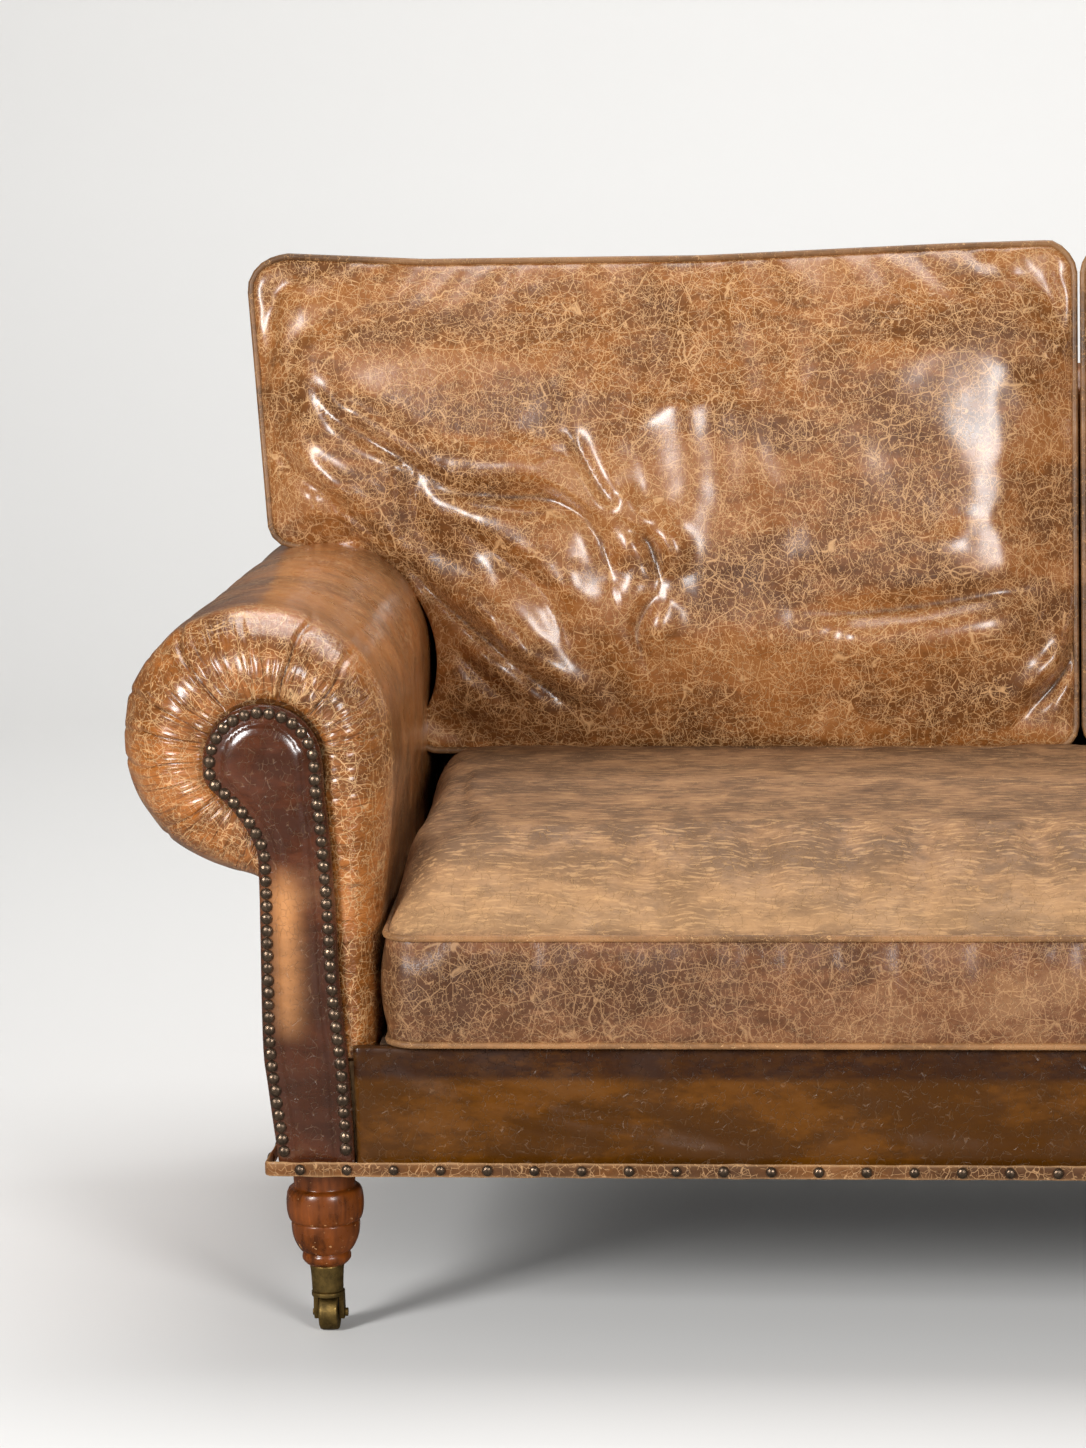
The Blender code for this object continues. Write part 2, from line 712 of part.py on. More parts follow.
def build_seat_frame(wood):
    front_end = RAIL_THICKNESS + CLEAR
    back_start = FRAME_DEPTH - RAIL_THICKNESS
    box("front_rail", (-FRAME_HALF, 0, RAIL_LOW), (FRAME_HALF, RAIL_THICKNESS, RAIL_HIGH), wood)
    box("back_rail", (-FRAME_HALF, back_start, RAIL_LOW), (FRAME_HALF, FRAME_DEPTH, RAIL_HIGH), wood)
    inner = FRAME_HALF - RAIL_THICKNESS
    for side, name in ((-1, "left"), (1, "right")):
        edges = sorted((side * FRAME_HALF, side * inner))
        low, high = (edges[0], front_end, RAIL_LOW), (edges[1], back_start - CLEAR, RAIL_HIGH)
        box("side_rail_" + name, low, high, wood)
        for end, label in ((0, "front"), (1, "rear")):
            corner = Vector((side * (inner - CLEAR), front_end if end == 0 else back_start - CLEAR))
            reach = Vector((-side * CORNER_BLOCK, CORNER_BLOCK * (1 - 2 * end)))
            outline = [corner, corner + Vector((reach.x, 0)), corner + Vector((0, reach.y))]
            plate("corner_block_" + label + "_" + name, outline, RAIL_LOW, RAIL_LOW + CORNER_BLOCK_HEIGHT, FACING_UP, wood)
    half = RAIL_THICKNESS / 2
    low, high = (-half, front_end, RAIL_LOW), (half, back_start - CLEAR, RAIL_LOW + CENTRE_RAIL_HEIGHT)
    box("centre_rail", low, high, wood)


def build_arm_frames(wood):
    outline = ARM_HOLLOW(0.0)[::SAMPLES]
    foot = [Vector((outline[-1].x, RAIL_HIGH)), Vector((outline[0].x, RAIL_HIGH))]
    stump = [p for p in offset_outline([*outline, *foot], -0.0012) if p.y > RAIL_HIGH + 0.01]
    stump += [Vector((stump[-1].x, RAIL_HIGH + CLEAR)), Vector((stump[0].x, RAIL_HIGH + CLEAR))]
    left = [plate("arm_stump_left", stump, 0, STUMP_THICKNESS, FACING_FRONT, wood)]
    start = STUMP_THICKNESS + CLEAR
    low_z = RAIL_HIGH + ARM_BOARD_HEIGHT
    middle = from_corner(*HOLLOW_FRONT["centre"]).x
    edge = middle - ARM_BOARD_WIDTH / 2
    left.append(
        box(
            "arm_board_left",
            (edge, start, low_z),
            (edge + ARM_BOARD_WIDTH, post_face(low_z) - CLEAR, low_z + ARM_BOARD_THICKNESS),
            wood,
        )
    )
    low_z = RAIL_HIGH + STUFF_RAIL_LIFT
    left.append(
        box(
            "stuff_rail_left",
            (-FRAME_HALF, start, low_z),
            (STUFF_RAIL_THICKNESS - FRAME_HALF, post_face(low_z) - CLEAR, low_z + STUFF_RAIL_HEIGHT),
            wood,
        )
    )
    for piece in left:
        mirrored(piece, piece.name.replace("left", "right"))


def build_back_frame(wood, webbing):
    outline = [
        (POST_FOOT, RAIL_HIGH + CLEAR),
        (FRAME_DEPTH, RAIL_HIGH + CLEAR),
        raked(BACK_HEIGHT, -POST_THICKNESS),
        raked(BACK_HEIGHT, 0),
    ]
    inner = FRAME_HALF - POST_WIDTH
    left = plate("back_post_left", [Vector(p) for p in outline], -FRAME_HALF, -inner, FACING_SIDE, wood)
    mirrored(left, "back_post_right")
    for name, start in (("back_top_rail", BACK_HEIGHT - BACK_RAIL_HEIGHT), ("back_low_rail", BACK_LOW_RAIL_LIFT)):
        outline = [
            raked(start, -POST_THICKNESS + 0.001),
            raked(start + BACK_RAIL_HEIGHT, -POST_THICKNESS + 0.001),
            raked(start + BACK_RAIL_HEIGHT, -0.001),
            raked(start, -0.001),
        ]
        plate(name, [Vector(p) for p in outline], CLEAR - inner, inner - CLEAR, FACING_SIDE, wood)
    webs = lattice(
        "back_webbing",
        min(-point.x for point in ARM_OUTER(POST_FOOT)) - 4 * CLEAR,
        (BACK_LOW_RAIL_LIFT + WEBBING, BACK_HEIGHT - WEBBING),
        BACK_WEBS,
        BACK_CROSS_WEBS,
        WEBBING - 2 * CLEAR,
        webbing,
    )
    depth, height = raked(0, -0.001 + CLEAR)
    stand = Matrix.Rotation(math.pi / 2 - RAKE, 4, "X")
    webs.data.transform(Matrix.Translation((0, depth, height)) @ stand)


def arm_face(depth):
    """How far from the middle the foot of the arms' inner faces lies, at a depth."""
    return FRAME_HALF - ARM_FACE_FRONT + (ARM_FACE_FRONT - ARM_FACE_BACK) * depth / POST_FOOT


def build_seat_support(webbing, cloth, lining):
    webs = lattice(
        "seat_webbing",
        FRAME_HALF - 0.012,
        (0.002, FRAME_DEPTH - 0.002),
        SEAT_WEBS,
        SEAT_CROSS_WEBS,
        WEBBING,
        webbing,
    )
    webs.data.transform(Matrix.Translation((0, 0, RAIL_HIGH + CLEAR)))
    rear = POST_FOOT - BACK_PAD - 4 * CLEAR
    edge_front = arm_face(0) - 2 * CLEAR
    edge_back = arm_face(rear) - 2 * CLEAR
    outline = [(-edge_front, 0), (edge_front, 0), (edge_back, rear), (-edge_back, rear)]
    plate("seat_deck", [Vector(p) for p in outline], WEB_TOP + CLEAR, DECK_TOP, FACING_UP, cloth)
    made = box(
        "dust_cover",
        (0.004 - FRAME_HALF, 0.004, RAIL_LOW - CLEAR - DUST_COVER),
        (FRAME_HALF - 0.004, FRAME_DEPTH - 0.004, RAIL_LOW - CLEAR),
        lining,
    )
    holes = [
        cylinder(
            "leg_hole",
            LEG_TENON_RADIUS + 4 * CLEAR,
            (x, depth, RAIL_LOW - HEM),
            (x, depth, RAIL_LOW + HEM),
            12,
            lining,
        )
        for x in (-LEG_X, LEG_X)
        for depth in (LEG_DEPTH, LEG_REAR_DEPTH)
    ]
    combine(made, holes, "DIFFERENCE")


def build_arms(leather, dark_leather):
    cover = arm_cover("arm_cover_left", leather)
    mirrored(cover, "arm_cover_right")
    panel = arm_panel("arm_panel_left", dark_leather)
    mirrored(panel, "arm_panel_right")
    rear = FRAME_DEPTH + CLEAR + BACK_COVER
    top_depth, top_height = raked(BACK_HEIGHT, 0)
    back_depth, back_height = raked(BACK_HEIGHT, -POST_THICKNESS - BACK_COVER)
    outline = [
        (CLEAR, BASE_LOW),
        (rear, BASE_LOW),
        (rear, RAIL_HIGH),
        (back_depth, back_height),
        (top_depth, top_height),
        (post_face(RAIL_HIGH + OUTER_BACK["end"][1]), RAIL_HIGH + OUTER_BACK["end"][1] - CLEAR),
        (CLEAR, RAIL_HIGH + OUTER_FRONT["end"][1] - CLEAR),
    ]
    side = plate(
        "outside_arm_left",
        [Vector(p) for p in outline],
        -SIDE_FACE,
        -FRAME_HALF - CLEAR,
        FACING_SIDE,
        leather,
    )
    mirrored(side, "outside_arm_right")
    edge = -SIDE_FACE - CLEAR
    outline = [p for p in offset_outline(ARM_OUTER(POST_FOOT), -CLEAR) if p.x < edge]
    outline += [Vector((edge, outline[-1].y)), Vector((edge, outline[0].y))]
    start = POST_FOOT + CLEAR
    end = plate("arm_end_left", outline, start, start + ARM_END_THICKNESS, FACING_FRONT, leather)
    lean = Matrix.Identity(4)
    lean[1][2] = math.tan(RAKE)
    lean[1][3] = -RAIL_HIGH * math.tan(RAKE)
    end.data.transform(lean)
    mirrored(end, "arm_end_right")


def build_back(leather):
    """Tight inside back that wraps over the top rail, and the flat outside back under it."""
    rear = -POST_THICKNESS - BACK_COVER
    pad, roll, top = BACK_PAD, BACK_TOP_ROLL, BACK_HEIGHT
    profile = [
        (0.020, 0.0035),
        (0.020, pad - 0.006),
        (0.200, pad),
        (top - 0.06, pad + BACK_PAD_CROWN),
        (top + 0.3 * roll, pad),
        (top + 0.8 * roll, pad * 0.6),
        (top + roll, 0.0),
        (top + 0.85 * roll, rear * 0.6),
        (top + 0.4 * roll, rear * 0.95),
        (top - 0.01, rear),
        (top - 0.06, rear),
        (top - 0.06, -POST_THICKNESS - CLEAR),
        (top + CLEAR, -POST_THICKNESS - CLEAR),
        (top + CLEAR, 0.0035),
    ]
    outline = [Vector(raked(*p)) for p in profile]
    made = plate("inside_back", outline, -FRAME_HALF, FRAME_HALF, FACING_SIDE, leather)
    left = arm_envelope("left_room", 0.001, leather)
    right = mirrored(left, "right_room")
    combine(made, [left, right], "DIFFERENCE")
    outline = [
        (FRAME_DEPTH + CLEAR, BASE_LOW),
        (FRAME_DEPTH + CLEAR + BACK_COVER, BASE_LOW),
        (FRAME_DEPTH + CLEAR + BACK_COVER, RAIL_HIGH),
        raked(top - 0.06 - CLEAR, rear),
        raked(top - 0.06 - CLEAR, -POST_THICKNESS - CLEAR),
        (FRAME_DEPTH + CLEAR, RAIL_HIGH),
    ]
    plate("outside_back", [Vector(p) for p in outline], -FRAME_HALF, FRAME_HALF, FACING_SIDE, leather)


def build_front_border(leather):
    half = FRAME_HALF - max(inwards for inwards, _ in PANEL_RIGHT) - 4 * CLEAR
    made = box(
        "front_border",
        (-half, -CLEAR - BORDER_THICKNESS, BASE_LOW),
        (half, -CLEAR, RAIL_HIGH - CLEAR),
        leather,
        BORDER_THICKNESS / 3,
    )
    bake(made)


SEAT_REAR = POST_FOOT - BACK_PAD - SEAT_SIDE_GAP - PIPING


def build_seat_cushion(leather):
    front_half = arm_face(0) - PIPING - SEAT_SIDE_GAP
    rear_half = arm_face(SEAT_REAR) - PIPING - SEAT_SIDE_GAP
    corners = [
        (-front_half, -SEAT_OVERHANG, SEAT_CORNER),
        (front_half, -SEAT_OVERHANG, SEAT_CORNER),
        (rear_half, SEAT_REAR, SEAT_CORNER),
        (-rear_half, SEAT_REAR, SEAT_CORNER),
    ]
    made = cushion("seat_cushion", corners, (0, 1, 2, 3), SEAT_CELLS, SEAT_EDGE, (SEAT_CROWN, 0.0), SEAT_SWELL, leather)
    made.location.z = DECK_TOP + CLEAR + SEAT_EDGE / 2


def seat_height(depth):
    """Height of the seat cushion's crest at a depth, along the straight lines of its mesh."""
    count = SEAT_CELLS[1]
    place = (depth + SEAT_OVERHANG) / (SEAT_REAR + SEAT_OVERHANG) * count
    row = max(0, min(count - 1, int(place)))
    near, far = (SEAT_CROWN * (1 - abs(2 * j / count - 1) ** SEAT_SWELL[1]) for j in (row, row + 1))
    return DECK_TOP + CLEAR + SEAT_EDGE + near + (far - near) * (place - row)


def back_cushion_place():
    """Where the back cushions' lower edge rests on the seat: along the back's slope and forward of it."""
    forward = BACK_PAD + BACK_PAD_CROWN + BACK_CUSHION_REAR_CROWN + BACK_CUSHION_EDGE + 2 * CLEAR
    along = 0.0
    for _ in range(20):
        depth, height = raked(along, forward)
        steps = [BACK_CUSHION_EDGE * k / 10 for k in range(8)]
        clash = max(seat_height(depth + step) + step * math.tan(RAKE) - height for step in steps)
        along += clash + PIPING + 2 * CLEAR
    return along, forward


def back_cushion_corners():
    """Outline of the left back cushion: it stands between the arms and has an ear over the arm."""
    along, forward = back_cushion_place()
    inner = PIPING + 3 * CLEAR
    low_outer = arm_face(POST_FOOT) - PIPING / 2
    arm_top = RAIL_HIGH + OUTER_BACK["centre"][1] + OUTER_BACK["radii"][4]
    ear = (arm_top - raked(along, forward)[1]) / math.cos(RAKE)
    return [
        (-low_outer, 0, EAR_CORNER),
        (-inner, 0, EAR_CORNER),
        (-inner, BACK_CUSHION_HEIGHT + 0.008, EAR_CORNER),
        (-FRAME_HALF - EAR_REACH_TOP, BACK_CUSHION_HEIGHT, EAR_CORNER),
        (-FRAME_HALF - EAR_REACH_LOW, ear + PIPING, EAR_CORNER),
        (-low_outer - PIPING, ear - 4 * PIPING, NOTCH_ROUND),
    ]


BACK_FOLDS = (
    ((-0.900, 0.400), (-0.720, 0.270), 0.022, 0.014),
    ((-0.720, 0.270), (-0.560, 0.220), 0.026, 0.018),
    ((-0.560, 0.220), (-0.500, 0.110), 0.024, 0.014),
    ((-0.720, 0.180), (-0.620, 0.060), 0.022, 0.016),
    ((-0.260, 0.150), (-0.080, 0.190), 0.028, 0.012),
)


def build_back_cushions(leather):
    made = cushion(
        "back_cushion_left",
        back_cushion_corners(),
        (0, 1, 2, 3),
        BACK_CUSHION_CELLS,
        BACK_CUSHION_EDGE,
        (BACK_CUSHION_CROWN, BACK_CUSHION_REAR_CROWN),
        BACK_SWELL,
        leather,
        BACK_FOLDS,
    )
    stand = Matrix.Rotation(math.pi / 2 - RAKE, 4, "X")
    lower_edge = Vector((0, *raked(*back_cushion_place())))
    into = stand.to_3x3() @ Vector((0, 0, -BACK_CUSHION_EDGE / 2))
    made.data.transform(Matrix.Translation(lower_edge + into) @ stand)
    combine(made, [arm_envelope("ear_room", 5 * CLEAR, leather)], "DIFFERENCE")
    mirrored(made, "back_cushion_right")


def leg_profile():
    """Turned leg from the rail down to the spigot that stands in the castor's cup."""
    top, foot = LEG_TOP, CUP_TOP + CLEAR
    rise = top - foot
    shoulder = BASE_LOW - 2 * CLEAR
    return [
        (0.0, top),
        (LEG_TENON_RADIUS, top),
        (LEG_TENON_RADIUS, shoulder),
        (LEG_NECK_RADIUS, shoulder),
        (LEG_NECK_RADIUS, foot + 0.68 * rise),
        (LEG_RING_RADIUS * 0.94, foot + 0.63 * rise),
        (LEG_RING_RADIUS, foot + 0.51 * rise),
        (LEG_RING_RADIUS * 0.93, foot + 0.40 * rise),
        (LEG_BULB_RADIUS * 0.96, foot + 0.375 * rise),
        (LEG_BULB_RADIUS, foot + 0.31 * rise),
        (LEG_BULB_RADIUS * 0.90, foot + 0.20 * rise),
        (LEG_FOOT_RADIUS * 0.94, foot + 0.12 * rise),
        (LEG_FOOT_RADIUS, foot + 0.07 * rise),
        (LEG_FOOT_RADIUS * 0.78, foot),
        (SPIGOT_RADIUS, foot),
        (SPIGOT_RADIUS, CUP_LOW + CUP_FLOOR + CLEAR),
        (0.0, CUP_LOW + CUP_FLOOR + CLEAR),
    ]


def cup_profile():
    """Brass cup with the riveted pin that holds the fork."""
    head_top = FORK_PLATE_LOW - CLEAR
    return [
        (0.0, CUP_LOW + CUP_FLOOR),
        (SPIGOT_RADIUS + CLEAR, CUP_LOW + CUP_FLOOR),
        (SPIGOT_RADIUS + CLEAR, CUP_TOP),
        (CUP_TOP_RADIUS, CUP_TOP),
        (CUP_LOW_RADIUS, CUP_LOW + 0.0015),
        (CUP_LOW_RADIUS - 0.001, CUP_LOW),
        (SWIVEL_PIN_RADIUS, CUP_LOW),
        (SWIVEL_PIN_RADIUS, head_top),
        (SWIVEL_HEAD_RADIUS, head_top),
        (SWIVEL_HEAD_RADIUS * 0.8, head_top - SWIVEL_HEAD_LENGTH),
        (0.0, head_top - SWIVEL_HEAD_LENGTH),
    ]


def fork(name, brass):
    """Swivel plate and the two ears that carry the axle."""
    ear_in = WHEEL_WIDTH / 2 + FORK_GAP
    ear_out = ear_in + EAR_THICKNESS
    low, high = (0, 0, FORK_PLATE_LOW), (0, 0, FORK_PLATE_HIGH)
    made = cylinder(name, FORK_PLATE_RADIUS, low, high, 16, brass)
    half = EAR_REACH * 1.35
    outline = [
        Vector((CASTOR_TRAIL - half * 0.72, FORK_PLATE_LOW + 0.001)),
        Vector((CASTOR_TRAIL - EAR_REACH, AXLE_HEIGHT)),
        Vector((CASTOR_TRAIL - EAR_REACH * 0.6, AXLE_HEIGHT - EAR_REACH * 0.8)),
        Vector((CASTOR_TRAIL + EAR_REACH * 0.6, AXLE_HEIGHT - EAR_REACH * 0.8)),
        Vector((CASTOR_TRAIL + EAR_REACH, AXLE_HEIGHT)),
        Vector((CASTOR_TRAIL + half * 0.5, FORK_PLATE_LOW + 0.001)),
        Vector((CASTOR_TRAIL + half * 0.2, FORK_PLATE_HIGH - 0.0004)),
        Vector((CASTOR_TRAIL - half * 1.5, FORK_PLATE_HIGH - 0.0004)),
        Vector((CASTOR_TRAIL - half * 1.5, FORK_PLATE_LOW + 0.001)),
    ]
    ears = [
        plate("left_ear", outline, -ear_out, -ear_in, FACING_SIDE, brass),
        plate("right_ear", outline, ear_in, ear_out, FACING_SIDE, brass),
    ]
    combine(made, ears, "UNION")
    pin_room = SWIVEL_PIN_RADIUS + RUNNING_GAP
    pin_hole = cylinder("pin_hole", pin_room, (0, 0, 0), (0, 0, CUP_TOP), 12, brass)
    axle_room = AXLE_RADIUS + RUNNING_GAP
    start, end = (-0.05, CASTOR_TRAIL, AXLE_HEIGHT), (0.05, CASTOR_TRAIL, AXLE_HEIGHT)
    axle_hole = cylinder("axle_hole", axle_room, start, end, 10, brass)
    return combine(made, [pin_hole, axle_hole], "DIFFERENCE")


def axle_profile():
    """Axle with a riveted head at each end, turned about its own length."""
    half = WHEEL_WIDTH / 2 + FORK_GAP + EAR_THICKNESS + CLEAR
    return [
        (0.0, half + AXLE_HEAD_LENGTH),
        (AXLE_HEAD_RADIUS, half + AXLE_HEAD_LENGTH),
        (AXLE_HEAD_RADIUS, half),
        (AXLE_RADIUS, half),
        (AXLE_RADIUS, -half),
        (AXLE_HEAD_RADIUS * 0.8, -half),
        (AXLE_HEAD_RADIUS * 0.8, -half - AXLE_HEAD_LENGTH / 2),
        (0.0, -half - AXLE_HEAD_LENGTH / 2),
    ]


def wheel(name, brass):
    """Brass wheel with a worn tread, turned about X."""
    half = WHEEL_WIDTH / 2
    made = cylinder(name, WHEEL_RADIUS, (-half, 0, 0), (half, 0, 0), WHEEL_SIDES, brass)
    made.data.transform(Matrix.Rotation(math.pi / WHEEL_SIDES, 4, "X"))
    bore = cylinder("bore", AXLE_RADIUS + RUNNING_GAP, (-2 * half, 0, 0), (2 * half, 0, 0), 10, brass)
    return combine(made, [bore], "DIFFERENCE")


def build_legs_and_castors(wood, brass):
    along_x = Matrix.Rotation(math.pi / 2, 4, "Y")
    first = {
        "leg": turned("leg", leg_profile(), TURNED_SIDES, wood),
        "castor_cup": turned("castor_cup", cup_profile(), TURNED_SIDES, brass),
        "castor_fork": fork("castor_fork", brass),
        "castor_axle": turned("castor_axle", axle_profile(), 10, brass, along_x),
        "castor_wheel": wheel("castor_wheel", brass),
    }
    for label, x, depth in (
        ("front_left", -LEG_X, LEG_DEPTH),
        ("front_right", LEG_X, LEG_DEPTH),
        ("rear_left", -LEG_X, LEG_REAR_DEPTH),
        ("rear_right", LEG_X, LEG_REAR_DEPTH),
    ):
        for kind, pattern in first.items():
            made = bpy.data.objects.new(f"{kind}_{label}", pattern.data)
            bpy.data.collections["sofa"].objects.link(made)
            on_axle = kind in ("castor_wheel", "castor_axle")
            made.location = (x, depth + CASTOR_TRAIL, AXLE_HEIGHT) if on_axle else (x, depth, 0)
    for pattern in first.values():
        bpy.data.objects.remove(pattern)


def build():
    for old in list(bpy.data.objects):
        bpy.data.objects.remove(old)
    bpy.context.scene.collection.children.link(bpy.data.collections.new("sofa"))
    wood = material("beech frame", (0.62, 0.45, 0.27), 0.7)
    leg_wood = material("stained leg", (0.30, 0.11, 0.03), 0.35)
    brass = material("aged brass", (0.36, 0.27, 0.12), 0.45, 0.9)
    webbing = material("jute webbing", (0.52, 0.42, 0.28), 0.95)
    cloth = material("platform cloth", (0.20, 0.13, 0.08), 0.9)
    lining = material("black lining", (0.02, 0.02, 0.02), 0.95)
    leather = material("tan leather", (0.42, 0.20, 0.07), 0.4)
    panel_leather = material("dark panel leather", (0.22, 0.08, 0.03), 0.35)
    border_leather = material("border leather", (0.30, 0.13, 0.02), 0.4)
    seat_leather = material("worn seat leather", (0.40, 0.25, 0.13), 0.7)
    build_seat_frame(wood)
    build_arm_frames(wood)
    build_back_frame(wood, webbing)
    build_seat_support(webbing, cloth, lining)
    build_arms(leather, panel_leather)
    build_back(leather)
    build_front_border(border_leather)
    build_base_band(border_leather)
    build_seat_cushion(seat_leather)
    build_back_cushions(leather)
    build_legs_and_castors(leg_wood, brass)
    centre = bpy.data.objects.new("sofa_centre", None)
    bpy.data.collections["sofa"].objects.link(centre)
    centre.location.y = -MIDDLE
    for made in bpy.data.collections["sofa"].objects:
        if made is not centre:
            made.parent = centre
        if made.type == "MESH" and ("leg" in made.name or "castor" in made.name):
            made.data.shade_smooth()
            made.data.set_sharp_from_angle(angle=math.radians(40))


build()
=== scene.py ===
"""Looks of a worn leather sofa: padded scroll arms, loose cushions, nailed trim, turned legs and castors.

Every length is in metres. X runs along the sofa, +Z is up, and the front faces -Y.
Depths are measured back from the front face of the wooden frame.
"""

import math

import bmesh
import bpy
import numpy as np
from bpy.props import FloatProperty, FloatVectorProperty, IntProperty, PointerProperty
from mathutils import Matrix, Vector, noise


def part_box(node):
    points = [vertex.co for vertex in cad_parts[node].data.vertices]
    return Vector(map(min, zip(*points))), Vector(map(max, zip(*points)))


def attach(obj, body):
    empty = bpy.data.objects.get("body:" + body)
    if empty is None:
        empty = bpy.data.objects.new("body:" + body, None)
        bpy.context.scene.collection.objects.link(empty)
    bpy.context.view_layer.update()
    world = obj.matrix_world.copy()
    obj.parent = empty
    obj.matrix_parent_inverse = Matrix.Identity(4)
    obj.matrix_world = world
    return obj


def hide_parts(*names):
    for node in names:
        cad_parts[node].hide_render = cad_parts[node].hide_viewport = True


bl_info = {
    "name": "Worn leather sofa",
    "version": (1, 0, 0),
    "blender": (4, 5, 0),
    "location": "View3D > Sidebar > Sofa",
    "description": "Makes the leather, cushions, nails, legs and castors of a worn sofa on its frame",
    "category": "Add Mesh",
}

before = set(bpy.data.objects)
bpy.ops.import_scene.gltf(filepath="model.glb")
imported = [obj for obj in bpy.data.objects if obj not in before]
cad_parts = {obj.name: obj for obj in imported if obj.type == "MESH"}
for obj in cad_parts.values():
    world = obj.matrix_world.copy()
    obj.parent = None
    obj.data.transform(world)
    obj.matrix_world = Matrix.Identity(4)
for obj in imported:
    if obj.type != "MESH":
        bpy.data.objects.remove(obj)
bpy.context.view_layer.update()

# Levels and places read from the frame. A panel's faces are measured from FRONT, as all depths are.
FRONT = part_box("front_rail")[0].y
FRAME_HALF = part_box("front_rail")[1].x
RAIL_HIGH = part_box("front_rail")[1].z
POST_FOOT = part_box("back_post_left")[0].y - FRONT
BASE_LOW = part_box("outside_arm_left")[0].z
PANEL_FRONT = -0.0153
PANEL_BACK = -0.0003
BAND_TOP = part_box("base_band")[0].z + 0.0168
SEAT_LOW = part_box("seat_cushion")[0].z
RAKE = math.radians(9.5)
CLEAR = 0.0003

# Outlines of the left arm, as distances inwards from the frame's side and up from the rails' top:
# a straight inner face, then a scroll given by angle and radius, then its outer end
ARM_FOOT = 0.0039
ARM_RIM = 0.070
ARM_LEAN_START = 0.400
SCROLL_ANGLES = (0, 25, 50, 75, 100, 125, 150, 175, 200, 225, 250)
OUTER_FRONT = {
    "inner": ((0.095, ARM_FOOT), (0.096, 0.088), (0.102, 0.178), (0.111, 0.253)),
    "centre": (-0.015, 0.310),
    "radii": (0.129, 0.132, 0.138, 0.144, 0.149, 0.155, 0.156, 0.152, 0.148, 0.140, 0.135),
    "end": (-0.0215, 0.180),
}
OUTER_BACK = {
    "inner": ((0.055, ARM_FOOT), (0.055, 0.088), (0.056, 0.178), (0.058, 0.253)),
    "centre": (-0.038, 0.306),
    "radii": (0.096, 0.104, 0.114, 0.122, 0.128, 0.134, 0.132, 0.124, 0.118, 0.112, 0.108),
    "end": (-0.0215, 0.200),
}
HOLLOW_FRONT = {
    "inner": ((0.053, ARM_FOOT), (0.051, 0.088), (0.048, 0.178), (0.042, 0.258)),
    "centre": (-0.011, 0.310),
    "radii": (0.052,) * 10 + (0.056,),
    "end": (0.0012, 0.180),
}
HOLLOW_BACK = {
    "inner": ((0.038, ARM_FOOT), (0.038, 0.088), (0.038, 0.178), (0.036, 0.258)),
    "centre": (-0.018, 0.310),
    "radii": (0.048,) * 10 + (0.052,),
    "end": (0.0012, 0.200),
}
PANEL_CENTRE = (-0.0135, 0.307)
PANEL_RADIUS = 0.0605
PANEL_ARC = (0, 20, 40, 60, 80, 100, 120, 140, 160, 180, 200)
PANEL_RIGHT = (
    (0.068, BASE_LOW - RAIL_HIGH),
    (0.065, -0.010),
    (0.058, 0.078),
    (0.056, 0.150),
    (0.052, 0.235),
    (0.048, 0.275),
)
PANEL_LEFT = (
    (-0.045, 0.260),
    (-0.024, 0.225),
    (-0.0205, 0.188),
    (-0.022, 0.028),
    (-0.018, -0.025),
    (-0.008, BASE_LOW - RAIL_HIGH),
)

# Seat cushion, in its own outline seen from above
SEAT_OVERHANG = 0.022
SEAT_EDGE = 0.113
SEAT_CORNER = 0.030
SEAT_GAP = 0.0105
SEAT_REAR = POST_FOOT - 0.060 - SEAT_GAP
SEAT_SWELL = ((18, 0.55), (5, 1.0))

# Back cushions, in their own upright outline
BACK_EDGE = 0.155
BACK_HEIGHT = 0.548
BACK_REAR_CROWN = 0.018
BACK_SWELL = ((5, 0.9), (5, 0.9))
BACK_FORWARD = 0.2376
EAR_TOP = 0.130
EAR_LOW = 0.105
EAR_CORNER = 0.025
NOTCH_ROUND = 0.075

# Legs
LEG_X = 0.773
LEG_DEPTHS = {"front": 0.050, "rear": 0.810}
SIDES = {"left": -1, "right": 1}


def paint(red, green, blue):
    """A colour written as 0 to 255 display values, as the linear values that a shader takes."""
    shown = (red / 255, green / 255, blue / 255)
    return tuple(((value + 0.055) / 1.055) ** 2.4 if value > 0.04 else value / 12.92 for value in shown)


def colour_property(name, description, shown):
    return FloatVectorProperty(
        name=name,
        description=description,
        default=paint(*shown),
        subtype="COLOR",
        size=3,
        min=0.0,
        max=1.0,
    )


def length_property(name, description, default):
    return FloatProperty(
        name=name,
        description=description,
        default=default,
        min=0.0,
        unit="LENGTH",
        subtype="DISTANCE",
    )


class SofaSizes(bpy.types.PropertyGroup):
    """Sizes of the sofa's trim and padding."""

    nail_radius: length_property("Nail radius", "Radius of a panel nail's domed head", 0.0063)
    band_nail_radius: length_property("Band nail radius", "Radius of a band nail's domed head", 0.0056)
    nail_height: length_property("Nail height", "How far a nail's head stands up", 0.0040)
    nail_pitch: length_property("Panel nail pitch", "Distance between the nails round an arm panel", 0.0126)
    nail_inset: length_property("Nail inset", "Distance of the nails from the panel's edge", 0.0075)
    band_pitch: length_property("Band nail pitch", "Distance between the nails on the base band", 0.047)
    piping: length_property("Piping radius", "Radius of the cushions' piping", 0.0036)
    seat_crown: length_property("Seat crown", "How far the seat cushion swells above its piping", 0.080)
    back_crown: length_property("Back crown", "How far the back cushions swell past their piping", 0.048)
    arm_puff: length_property("Arm puff", "How far the pleated rim swells in front of the frame", 0.009)
    panel_dome: length_property("Panel dome", "How far the arm panels' padding stands up", 0.0060)
    seed: IntProperty(name="Seed", description="Start of every random draw", default=7)


